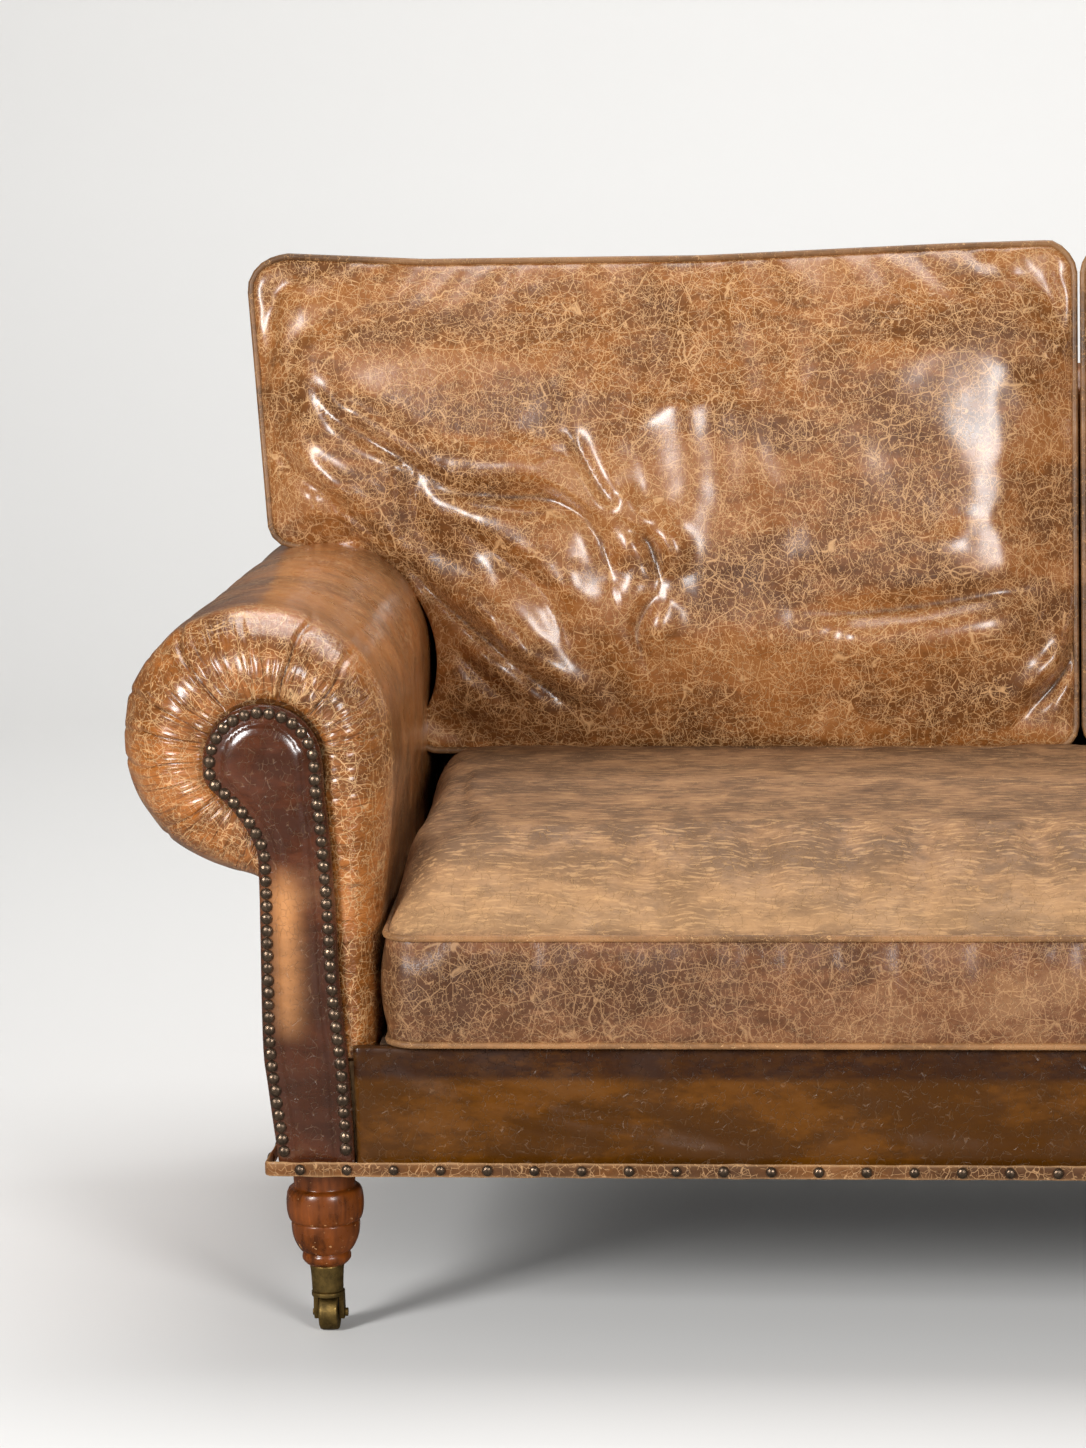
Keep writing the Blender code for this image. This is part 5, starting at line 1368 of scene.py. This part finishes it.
def nail_tree(finish):
    """A node tree that sets a domed nail at even steps along a line of edges."""
    tree = bpy.data.node_groups.new("nail_row", "GeometryNodeTree")
    face = tree.interface
    face.new_socket("Geometry", in_out="INPUT", socket_type="NodeSocketGeometry")
    inputs = {}
    for name, kind, value in (
        ("Pitch", "NodeSocketFloat", 0.0124),
        ("Radius", "NodeSocketFloat", 0.0057),
        ("Flatness", "NodeSocketVector", (1.0, 1.0, 1.0)),
        ("Unevenness", "NodeSocketFloat", 0.05),
        ("Seed", "NodeSocketInt", 1),
    ):
        socket = face.new_socket(name, in_out="INPUT", socket_type=kind)
        socket.default_value = value
        inputs[name] = socket.identifier
    face.new_socket("Geometry", in_out="OUTPUT", socket_type="NodeSocketGeometry")
    nodes, link = tree.nodes, tree.links.new
    given, result = nodes.new("NodeGroupInput"), nodes.new("NodeGroupOutput")
    curve = nodes.new("GeometryNodeMeshToCurve")
    link(given.outputs["Geometry"], curve.inputs["Mesh"])
    steps = nodes.new("GeometryNodeResampleCurve")
    steps.mode = "LENGTH"
    link(curve.outputs[0], steps.inputs["Curve"])
    link(given.outputs["Pitch"], steps.inputs["Length"])
    spots = nodes.new("GeometryNodeCurveToPoints")
    spots.mode = "EVALUATED"
    link(steps.outputs[0], spots.inputs["Curve"])
    head = nodes.new("GeometryNodeMeshUVSphere")
    head.inputs["Segments"].default_value = 14
    head.inputs["Rings"].default_value = 8
    link(given.outputs["Radius"], head.inputs["Radius"])
    smooth = nodes.new("GeometryNodeSetShadeSmooth")
    link(head.outputs["Mesh"], smooth.inputs["Geometry"])
    flat = nodes.new("GeometryNodeTransform")
    link(smooth.outputs[0], flat.inputs["Geometry"])
    link(given.outputs["Flatness"], flat.inputs["Scale"])
    drawn = nodes.new("FunctionNodeRandomValue")
    drawn.data_type = "FLOAT"
    drawn.inputs[2].default_value = -1.0
    drawn.inputs[3].default_value = 1.0
    link(given.outputs["Seed"], drawn.inputs["Seed"])
    uneven = nodes.new("ShaderNodeMath")
    uneven.operation = "MULTIPLY_ADD"
    link(drawn.outputs[1], uneven.inputs[0])
    link(given.outputs["Unevenness"], uneven.inputs[1])
    uneven.inputs[2].default_value = 1.0
    tilt = nodes.new("FunctionNodeRandomValue")
    tilt.data_type = "FLOAT_VECTOR"
    tilt.inputs[0].default_value = (-0.14, -0.14, -0.14)
    tilt.inputs[1].default_value = (0.14, 0.14, 0.14)
    link(given.outputs["Seed"], tilt.inputs["Seed"])
    copies = nodes.new("GeometryNodeInstanceOnPoints")
    link(spots.outputs["Points"], copies.inputs["Points"])
    link(flat.outputs[0], copies.inputs["Instance"])
    link(uneven.outputs[0], copies.inputs["Scale"])
    link(tilt.outputs[0], copies.inputs["Rotation"])
    real = nodes.new("GeometryNodeRealizeInstances")
    link(copies.outputs[0], real.inputs[0])
    coat = nodes.new("GeometryNodeSetMaterial")
    coat.inputs["Material"].default_value = finish
    link(real.outputs[0], coat.inputs["Geometry"])
    link(coat.outputs[0], result.inputs["Geometry"])
    return tree, inputs


def nail_row(name, path, pitch, radius, flatness, finish, seed):
    """Domed nails at even steps along a path, as one mesh."""
    mesh = bpy.data.meshes.new(name)
    mesh.from_pydata([tuple(p) for p in path], [(k, k + 1) for k in range(len(path) - 1)], [])
    made = placed(name, mesh)
    tree, inputs = nail_tree(finish)
    step = made.modifiers.new("nails", "NODES")
    step.node_group = tree
    step[inputs["Pitch"]] = pitch
    step[inputs["Radius"]] = radius
    step[inputs["Flatness"]] = flatness
    step[inputs["Unevenness"]] = 0.05
    step[inputs["Seed"]] = seed
    apply_modifiers(made)
    mark_curvature(made, 0.001)
    return made


# Border and band

BAND_THICKNESS = 0.003
BAND_SIDES = 16
BAND_REACH = LEG_X + 0.0135
SIDE_NAILS = (0.025, 0.810)
BORDER_FOLDS = (
    (((-0.715, 0.305), (-0.640, 0.280), (-0.521, 0.253), (-0.420, 0.232), (-0.331, 0.212)), 0.0050, 0.009),
    (((-0.640, 0.250), (-0.560, 0.232), (-0.470, 0.214)), 0.0022, 0.008),
    (((-0.250, 0.236), (-0.100, 0.226), (0.020, 0.230)), 0.0020, 0.010),
    (((0.330, 0.214), (0.480, 0.240), (0.640, 0.272)), 0.0034, 0.010),
)


def make_front_border(finish):
    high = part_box("front_border")[1]
    half = high.x
    top = SEAT_LOW - 0.0012
    columns, rows = 280, 42
    x, z = np.meshgrid(np.linspace(-half, half, columns), np.linspace(BASE_LOW + 0.0004, top, rows))
    flat = np.column_stack((x.ravel(), z.ravel()))
    edge = np.minimum(np.minimum(half - np.abs(flat[:, 0]), top - flat[:, 1]), flat[:, 1] - BASE_LOW)
    swell = 0.0058 * np.clip(edge / 0.030, 0, 1) ** 0.5
    swell += 0.0016 * lumps(np.column_stack((flat, np.zeros(len(flat)))), 13.0, 2.0)
    for path, depth, width in BORDER_FOLDS:
        distance, hand, share = path_distance(flat, smooth_path(path, 6))
        taper = np.sin(math.pi * np.clip(share, 0.03, 0.97)) ** 0.5
        bank = np.exp(-(((distance * hand + 2 * width) / (1.6 * width)) ** 2))
        swell += depth * taper * (0.8 * bank - np.exp(-((distance / width) ** 2)))
    y = -0.0075 - np.clip(swell, -0.004, 0.0098)
    front = np.column_stack((flat[:, 0], y, flat[:, 1]))
    made = closed_sheet("front_border_leather", front, rows, columns, high.y - FRONT, finish["border"])
    mark_curvature(made, 0.006)
    level = points_of(made)[:, 2]
    # Painted shadow of the seat's overhang: a dark band along the border's top.
    write_attribute(made, "soil", np.clip((level - top + 0.036) / 0.007, 0, 1))
    settle(made, "border_leather", "front_border", fill=0.9)


def make_base_band(finish):
    s = sizes()
    low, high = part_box("base_band")
    outline = even_loop([(low.x, low.y), (high.x, low.y), (high.x, high.y), (low.x, high.y)], 0.006)
    height = (low.z + BAND_TOP) / 2
    half = (BAND_TOP - low.z) / 2
    turns = np.linspace(0, 2 * math.pi, BAND_SIDES, endpoint=False)
    profile = [(math.cos(a), math.sin(a)) for a in turns]
    spots = band_spots(low, high, s.band_pitch)
    rings = []
    inside = offset_loop(outline, -BAND_THICKNESS / 2)
    for (x, y), (in_x, in_y) in zip(outline, inside):
        near = min(math.hypot(x - sx, y - sy) for sx, sy in spots)
        pinch = math.exp(-((near / 0.012) ** 2))
        place = Vector((x, y, 0.0))
        raised = 0.0012 * noise.noise(place * 21) + 0.0010 * noise.noise(place * 70 + Vector((5, 1, 0)))
        tall = half - 0.0008 + 0.0009 * noise.noise(place * 45 + Vector((0, 9, 0)))
        out = Vector((x - in_x, y - in_y)).normalized()
        depth = BAND_THICKNESS / 2 * (1 - 0.45 * pinch) * 0.98
        for across, up in profile:
            square_up = math.copysign(abs(up) ** 0.45, up)
            reach = math.copysign(abs(across) ** 0.8, across) * depth
            lift = max(0, raised * (1 if up < 0 else 0.4))
            rings.append((in_x + out.x * reach, in_y + out.y * reach, height + tall * square_up + lift))
    faces = looped_faces(len(outline), BAND_SIDES)
    band = make_piece("base_band_leather", rings, faces, finish["band"])
    mark_curvature(band, 0.002)
    level = np.abs(points_of(band)[:, 2] - height)
    write_attribute(band, "rub", 0.9 * np.clip((level - 0.55 * half) / (0.4 * half), 0, 1))
    settle(band, "border_leather", "base_band")
    rows = []
    flat = s.nail_height / s.band_nail_radius
    first, last = (FRONT + depth for depth in SIDE_NAILS)
    lines = [((-BAND_REACH, y), (BAND_REACH, y), (1, flat, 1)) for y in (low.y, high.y)]
    lines += [((x, first), (x, last), (flat, 1, 1)) for x in (low.x, high.x)]
    for k, (start, end, flatness) in enumerate(lines):
        path = np.column_stack((np.linspace(start, end, 60), np.full(60, height)))
        size = (s.band_pitch, s.band_nail_radius, flatness)
        rows.append(nail_row("row", path, *size, finish["nail"], s.seed + k))
    heads = join_pieces("base_band_nails", rows)
    settle(heads, "aged_brass")


def band_spots(low, high, pitch):
    """About where the band's nails pinch it, seen from above."""
    first, last = SIDE_NAILS
    across = np.linspace(-BAND_REACH, BAND_REACH, round(2 * BAND_REACH / pitch) + 1)
    along = FRONT + np.linspace(first, last, round((last - first) / pitch) + 1)
    spots = [(x, y) for x in across for y in (low.y, high.y)]
    return spots + [(x, y) for y in along for x in (low.x, high.x)]


def even_loop(corners, radius, step=0.008):
    """Points at close, even steps round a closed outline with rounded corners."""
    outline, _ = rounded([(*corner, radius) for corner in corners], 3)
    closed = np.vstack((outline, outline[:1]))
    length = np.linalg.norm(np.diff(closed, axis=0), axis=1).sum()
    return even_points(closed, int(length / step))[:-1]


# Covers of the back and sides

def soft_copy(name, node, finish, voxel, swell, scale):
    """A frame node's shape made again as soft leather: rounded at its edges and gently uneven."""
    made = welded_copy(name, node)
    step = made.modifiers.new("even", "REMESH")
    step.mode = "VOXEL"
    step.voxel_size = voxel
    soft = made.modifiers.new("soft", "SMOOTH")
    soft.factor = 0.5
    soft.iterations = 3
    apply_modifiers(made)
    finish_copy(made, finish)
    points = points_of(made)
    lift = swell * (lumps(points, scale, 4.0) - 0.3)
    set_points(made, points + normals_of(made) * lift[:, None])
    mark_curvature(made)
    return made


def make_back(finish):
    made = soft_copy("inside_back_leather", "inside_back", finish["outer"], 0.0085, 0.0016, 8.0)
    settle(made, "arm_leather", "inside_back", fill=0.7)
    made = soft_copy("outside_back_leather", "outside_back", finish["outer"], 0.009, 0.0010, 7.0)
    settle(made, "arm_leather", "outside_back")


def make_sides(finish):
    covers = (("outside_arm", 0.008, 0.0010, 7.0), ("arm_end", 0.004, 0.0008, 12.0))
    for side in SIDES:
        for kind, voxel, swell, scale in covers:
            node = kind + "_" + side
            made = soft_copy(kind + "_leather_" + side, node, finish["outer"], voxel, swell, scale)
            settle(made, "arm_leather", node)


# Legs and castors

AXLE_HEIGHT = sum(corner.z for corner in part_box("castor_wheel_front_left")) / 2
TRAIL = 0.009
CUP_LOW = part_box("castor_fork_front_left")[1].z + CLEAR
CUP_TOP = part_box("castor_cup_front_left")[1].z
WHEEL_RADIUS = AXLE_HEIGHT
WHEEL_HALF = 0.0098
PLATE_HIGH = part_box("castor_fork_front_left")[1].z
PLATE_LOW = PLATE_HIGH - 0.004


def leg_profile():
    """Turned leg from the rail down to the spigot, as (radius, height)."""
    foot, top = CUP_TOP + CLEAR, 0.194
    rise = top - foot
    shoulder = BASE_LOW - 0.0006
    shaped = [
        (0.0330, shoulder),
        (0.0325, foot + 0.82 * rise),
        (0.0316, foot + 0.74 * rise),
        (0.0318, foot + 0.695 * rise),
        (0.0330, foot + 0.682 * rise),
        (0.0368, foot + 0.668 * rise),
        (0.0390, foot + 0.62 * rise),
        (0.0398, foot + 0.545 * rise),
        (0.0392, foot + 0.465 * rise),
        (0.0372, foot + 0.405 * rise),
        (0.0350, foot + 0.392 * rise),
        (0.0345, foot + 0.384 * rise),
        (0.0352, foot + 0.372 * rise),
        (0.0350, foot + 0.31 * rise),
        (0.0335, foot + 0.24 * rise),
        (0.0300, foot + 0.17 * rise),
        (0.0262, foot + 0.125 * rise),
        (0.0234, foot + 0.112 * rise),
        (0.0240, foot + 0.100 * rise),
        (0.0250, foot + 0.080 * rise),
        (0.0248, foot + 0.045 * rise),
        (0.0215, foot + 0.012 * rise),
        (0.0195, foot),
    ]
    smooth = smooth_path(shaped, 3)
    sharp_top = [(0.0, top), (0.0245, top), (0.0245, shoulder), (0.0300, shoulder)]
    sharp_low = [(0.0130, foot), (0.0130, CUP_LOW + 0.0043), (0.0, CUP_LOW + 0.0043)]
    return np.vstack((sharp_top, smooth, sharp_low))


def cup_profile():
    """Castor cup and the pin that holds its fork, as (radius, height)."""
    top, low = CUP_TOP, CUP_LOW
    return np.array((
        (0.0, low + 0.0040),
        (0.0133, low + 0.0040),
        (0.0133, top - 0.0002),
        (0.0140, top),
        (0.0172, top),
        (0.0177, top - 0.0006),
        (0.0176, top - 0.0022),
        (0.0171, top - 0.0060),
        (0.0166, top - 0.0130),
        (0.0163, low + 0.0080),
        (0.0161, low + 0.0026),
        (0.0158, low + 0.0010),
        (0.0150, low),
        (0.0040, low),
        (0.0040, PLATE_LOW - CLEAR),
        (0.0064, PLATE_LOW - CLEAR),
        (0.0058, PLATE_LOW - CLEAR - 0.0014),
        (0.0045, PLATE_LOW - CLEAR - 0.0020),
        (0.0, PLATE_LOW - CLEAR - 0.0020),
    ))


def wheel_profile():
    """Half of the wheel's section, from the bore's edge over the worn tread, as (radius, place along X)."""
    half, radius = WHEEL_HALF, WHEEL_RADIUS
    side = [
        (0.0028, -half + 0.0008),
        (0.0052, -half + 0.0004),
        (0.0060, -half + 0.0014),
        (0.0120, -half + 0.0016),
        (0.0135, -half + 0.0004),
        (0.0160, -half),
        (0.0176, -half + 0.0007),
        (radius - 0.0003, -half + 0.0024),
        (radius, -half + 0.0045),
        (radius, -0.0001),
    ]
    return np.array(side + [(r, -x) for r, x in side[::-1]])


def ring_solid(name, profile, centre, finish, sides=72):
    """A closed ring turned about X from a closed profile of (radius, place along X)."""
    turns = np.linspace(0, 2 * math.pi, sides, endpoint=False)
    points = [(x, r * math.cos(a), r * math.sin(a)) for a in turns for r, x in profile]
    return make_piece(name, np.array(points) + np.asarray(centre), looped_faces(sides, len(profile)), finish)


def rounded_copy(name, node, finish, width):
    """A frame node's metal with its edges rounded."""
    made = welded_copy(name, node, flat=True)
    bevel = made.modifiers.new("edges", "BEVEL")
    bevel.width = width
    bevel.segments = 2
    bevel.limit_method = "ANGLE"
    bevel.angle_limit = math.radians(35)
    apply_modifiers(made)
    finish_copy(made, finish)
    made.data.set_sharp_from_angle(angle=math.radians(50))
    mark_curvature(made, 0.0005)
    return made


def make_legs_and_castors(finish):
    for end, depth in LEG_DEPTHS.items():
        for side, hand in SIDES.items():
            corner = end + "_" + side
            centre = (hand * LEG_X, FRONT + depth, 0)
            leg = turned("turned_leg_" + corner, leg_profile(), centre, finish["leg"])
            mark_curvature(leg, 0.003)
            settle(leg, "leg_wood", "leg_" + corner)
            cup = turned("brass_cup_" + corner, cup_profile(), centre, finish["brass"])
            mark_curvature(cup, 0.001)
            settle(cup, "aged_brass", "castor_cup_" + corner)
            fork = rounded_copy("brass_fork_" + corner, "castor_fork_" + corner, finish["brass"], 0.0005)
            settle(fork, "aged_brass", "castor_fork_" + corner, body="castor_" + corner)
            axle = rounded_copy("brass_axle_" + corner, "castor_axle_" + corner, finish["brass"], 0.0004)
            settle(axle, "aged_brass", "castor_axle_" + corner, body="castor_" + corner)
            hub = (centre[0], centre[1] + TRAIL, AXLE_HEIGHT)
            wheel = ring_solid("brass_wheel_" + corner, wheel_profile(), hub, finish["brass"])
            mark_curvature(wheel, 0.001)
            settle(wheel, "aged_brass", "castor_wheel_" + corner, body="wheel_" + corner)


def finish_frame(finish):
    """Gives the frame's own pieces their wood, webbing and cloth."""
    kinds = {
        "beech": ("rail", "block", "stump", "board", "post"),
        "jute": ("webbing",),
        "platform": ("deck",),
        "lining": ("dust",),
    }
    for name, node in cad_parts.items():
        for kind, words in kinds.items():
            if any(word in name for word in words):
                node.data.materials.clear()
                node.data.materials.append(finish[kind])


# Stage

CAMERA_DISTANCE = 4.91
CAMERA_HEIGHT = 1.505
CAMERA_YAW = math.radians(-6.16)
CAMERA_PITCH = math.radians(9.87)
CAMERA_ROLL = math.radians(-1.32)
CAMERA_LENS = 125.73


def make_camera():
    camera = bpy.data.cameras.new("camera")
    camera.lens = CAMERA_LENS
    camera.sensor_width = 36.0
    camera.clip_end = 60.0
    made = placed("camera", camera)
    yaw, pitch, roll = CAMERA_YAW, CAMERA_PITCH, CAMERA_ROLL
    level = math.cos(pitch)
    ahead = Vector((math.sin(yaw) * level, math.cos(yaw) * level, -math.sin(pitch)))
    right = Vector((math.cos(yaw), -math.sin(yaw), 0))
    up = right.cross(ahead)
    turned_right = math.cos(roll) * right + math.sin(roll) * up
    turned_up = -math.sin(roll) * right + math.cos(roll) * up
    place = Matrix((turned_right, turned_up, -ahead)).transposed().to_4x4()
    place.translation = Vector((0, FRONT + PANEL_FRONT - CAMERA_DISTANCE, CAMERA_HEIGHT))
    made.matrix_world = place
    bpy.context.scene.camera = made


def area_light(name, place, target, size, watts):
    light = bpy.data.lights.new(name, "AREA")
    light.shape = "RECTANGLE"
    light.size, light.size_y = size
    light.energy = watts
    made = placed(name, light)
    made.location = place
    made.rotation_euler = (Vector(target) - Vector(place)).to_track_quat("-Z", "Y").to_euler()


def floor_material():
    """Pale and matte, darker in reflections, and clear to the camera far off and from behind."""
    f = Finish("pale_floor")
    pale = tuple(colours().floor)
    rays = f.add("ShaderNodeLightPath").outputs
    made = f.done(f.blend(rays["Is Glossy Ray"], pale, shade(pale, 0.12)), 0.9)
    behind = f.add("ShaderNodeNewGeometry").outputs["Backfacing"]
    clear = f.add("ShaderNodeBsdfTransparent").outputs[0]
    across, along, _ = f.add("ShaderNodeSeparateXYZ", {"Vector": f.where}).outputs
    ahead = f.spread(along, -1.8, -4.0)
    beside = f.spread(f.sum("ABSOLUTE", across), 3.0, 5.5)
    share = f.sum("MAXIMUM", behind, f.sum("MAXIMUM", ahead, beside))
    share = f.sum("MULTIPLY", share, rays["Is Camera Ray"])
    either = f.add("ShaderNodeMixShader", {0: share, 1: f.shader.outputs[0], 2: clear}).outputs[0]
    f.give(f.tree.nodes["Material Output"].inputs["Surface"], either)
    return made


def make_floor():
    """A floor that bends up into a backdrop behind the sofa."""
    width, front, rear, wall, bend = 8.0, -7.0, 3.2, 4.5, 1.2
    turns = np.linspace(0, math.pi / 2, 14)
    curve = [(rear + bend * math.sin(a), bend * (1 - math.cos(a))) for a in turns]
    profile = [(front, 0.0), *curve, (rear + bend, wall)]
    points = [(x, y, z) for y, z in profile for x in (-width, width)]
    faces = grid_faces(len(profile), 2)
    make_piece("floor", points, faces, floor_material(), outwards=False)


def make_world():
    """A soft grey surround that is pale to the camera and dim in reflections."""
    world = bpy.data.worlds.new("studio")
    bpy.context.scene.world = world
    world.use_nodes = True
    nodes, link = world.node_tree.nodes, world.node_tree.links.new
    background = nodes["Background"]
    background.inputs["Color"].default_value = (1.0, 1.0, 1.0, 1.0)
    rays = nodes.new("ShaderNodeLightPath").outputs
    dimmed, shown = nodes.new("ShaderNodeMapRange"), nodes.new("ShaderNodeMapRange")
    dimmed.inputs["To Min"].default_value = 0.19
    dimmed.inputs["To Max"].default_value = 0.05
    shown.inputs["To Max"].default_value = 0.80
    link(rays["Is Glossy Ray"], dimmed.inputs["Value"])
    link(rays["Is Camera Ray"], shown.inputs["Value"])
    link(dimmed.outputs[0], shown.inputs["To Min"])
    link(shown.outputs[0], background.inputs["Strength"])


def make_stage():
    make_floor()
    make_world()
    area_light("left_window", (-2.7, -3.2, 1.9), (-0.5, 0, 0.7), (0.85, 1.5), 118.0)
    area_light("right_window", (1.7, -4.3, 1.95), (0.2, 0, 0.7), (1.1, 1.4), 112.0)
    area_light("top", (-0.2, 0.6, 3.3), (-0.1, -0.1, 0.4), (2.6, 1.6), 56.0)
    area_light("backdrop", (0.0, 2.0, 4.0), (0, 4.4, 1.2), (4.0, 0.6), 90.0)
    bpy.context.scene.view_settings.view_transform = "Standard"
    make_camera()


FINISHES = {}


def finishes():
    """The sofa's materials, made once."""
    if not FINISHES:
        FINISHES.update(make_finishes())
    return FINISHES


class SOFA_OT_stage(bpy.types.Operator):
    """Makes the floor, the lights and the camera"""

    bl_idname = "sofa.stage"
    bl_label = "Stage"

    def execute(self, context):
        make_stage()
        return {"FINISHED"}


class SOFA_OT_frame(bpy.types.Operator):
    """Gives the wooden frame, the webbing and the linings their finishes"""

    bl_idname = "sofa.frame"
    bl_label = "Frame finishes"

    def execute(self, context):
        finish_frame(finishes())
        return {"FINISHED"}


class SOFA_OT_back_cushions(bpy.types.Operator):
    """Makes the two back cushions with their piping"""

    bl_idname = "sofa.back_cushions"
    bl_label = "Back cushions"

    def execute(self, context):
        make_back_cushions(finishes())
        return {"FINISHED"}


class SOFA_OT_seat_cushion(bpy.types.Operator):
    """Makes the bench seat cushion with its piping"""

    bl_idname = "sofa.seat_cushion"
    bl_label = "Seat cushion"

    def execute(self, context):
        make_seat_cushion(finishes())
        return {"FINISHED"}


class SOFA_OT_arms(bpy.types.Operator):
    """Makes the padded scroll arms with their pleated rims"""

    bl_idname = "sofa.arms"
    bl_label = "Arms"

    def execute(self, context):
        make_arms(finishes())
        return {"FINISHED"}


class SOFA_OT_arm_panels(bpy.types.Operator):
    """Makes the arms' facing panels with their nails"""

    bl_idname = "sofa.arm_panels"
    bl_label = "Arm panels"

    def execute(self, context):
        make_arm_panels(finishes())
        return {"FINISHED"}


class SOFA_OT_base(bpy.types.Operator):
    """Makes the front border and the nailed band round the base"""

    bl_idname = "sofa.base"
    bl_label = "Border and band"

    def execute(self, context):
        make_front_border(finishes())
        make_base_band(finishes())
        return {"FINISHED"}


class SOFA_OT_covers(bpy.types.Operator):
    """Makes the covers of the back, the sides and the arms' rear ends"""

    bl_idname = "sofa.covers"
    bl_label = "Back and sides"

    def execute(self, context):
        make_back(finishes())
        make_sides(finishes())
        return {"FINISHED"}


class SOFA_OT_legs(bpy.types.Operator):
    """Makes the turned legs and the castors"""

    bl_idname = "sofa.legs"
    bl_label = "Legs and castors"

    def execute(self, context):
        make_legs_and_castors(finishes())
        return {"FINISHED"}


OPERATORS = (
    SOFA_OT_stage,
    SOFA_OT_frame,
    SOFA_OT_back_cushions,
    SOFA_OT_seat_cushion,
    SOFA_OT_arms,
    SOFA_OT_arm_panels,
    SOFA_OT_base,
    SOFA_OT_covers,
    SOFA_OT_legs,
)


class SOFA_PT_panel(bpy.types.Panel):
    """Lists the sofa's pieces with their sizes and colours"""

    bl_idname = "SOFA_PT_panel"
    bl_label = "Worn leather sofa"
    bl_space_type = "VIEW_3D"
    bl_region_type = "UI"
    bl_category = "Sofa"

    def draw(self, context):
        layout = self.layout
        for group in (context.scene.sofa_sizes, context.scene.sofa_colours):
            column = layout.column()
            for name in group.bl_rna.properties.keys():
                if name not in ("rna_type", "name"):
                    column.prop(group, name)
        for operator in OPERATORS:
            layout.operator(operator.bl_idname)


CLASSES = (SofaSizes, SofaColours, *OPERATORS, SOFA_PT_panel)


def register():
    for made in CLASSES:
        bpy.utils.register_class(made)
    bpy.types.Scene.sofa_sizes = PointerProperty(type=SofaSizes)
    bpy.types.Scene.sofa_colours = PointerProperty(type=SofaColours)


def unregister():
    del bpy.types.Scene.sofa_colours
    del bpy.types.Scene.sofa_sizes
    for made in reversed(CLASSES):
        bpy.utils.unregister_class(made)


def main():
    register()
    for operator in OPERATORS:
        group, name = operator.bl_idname.split(".")
        getattr(getattr(bpy.ops, group), name)()


if __name__ == "__main__":
    main()
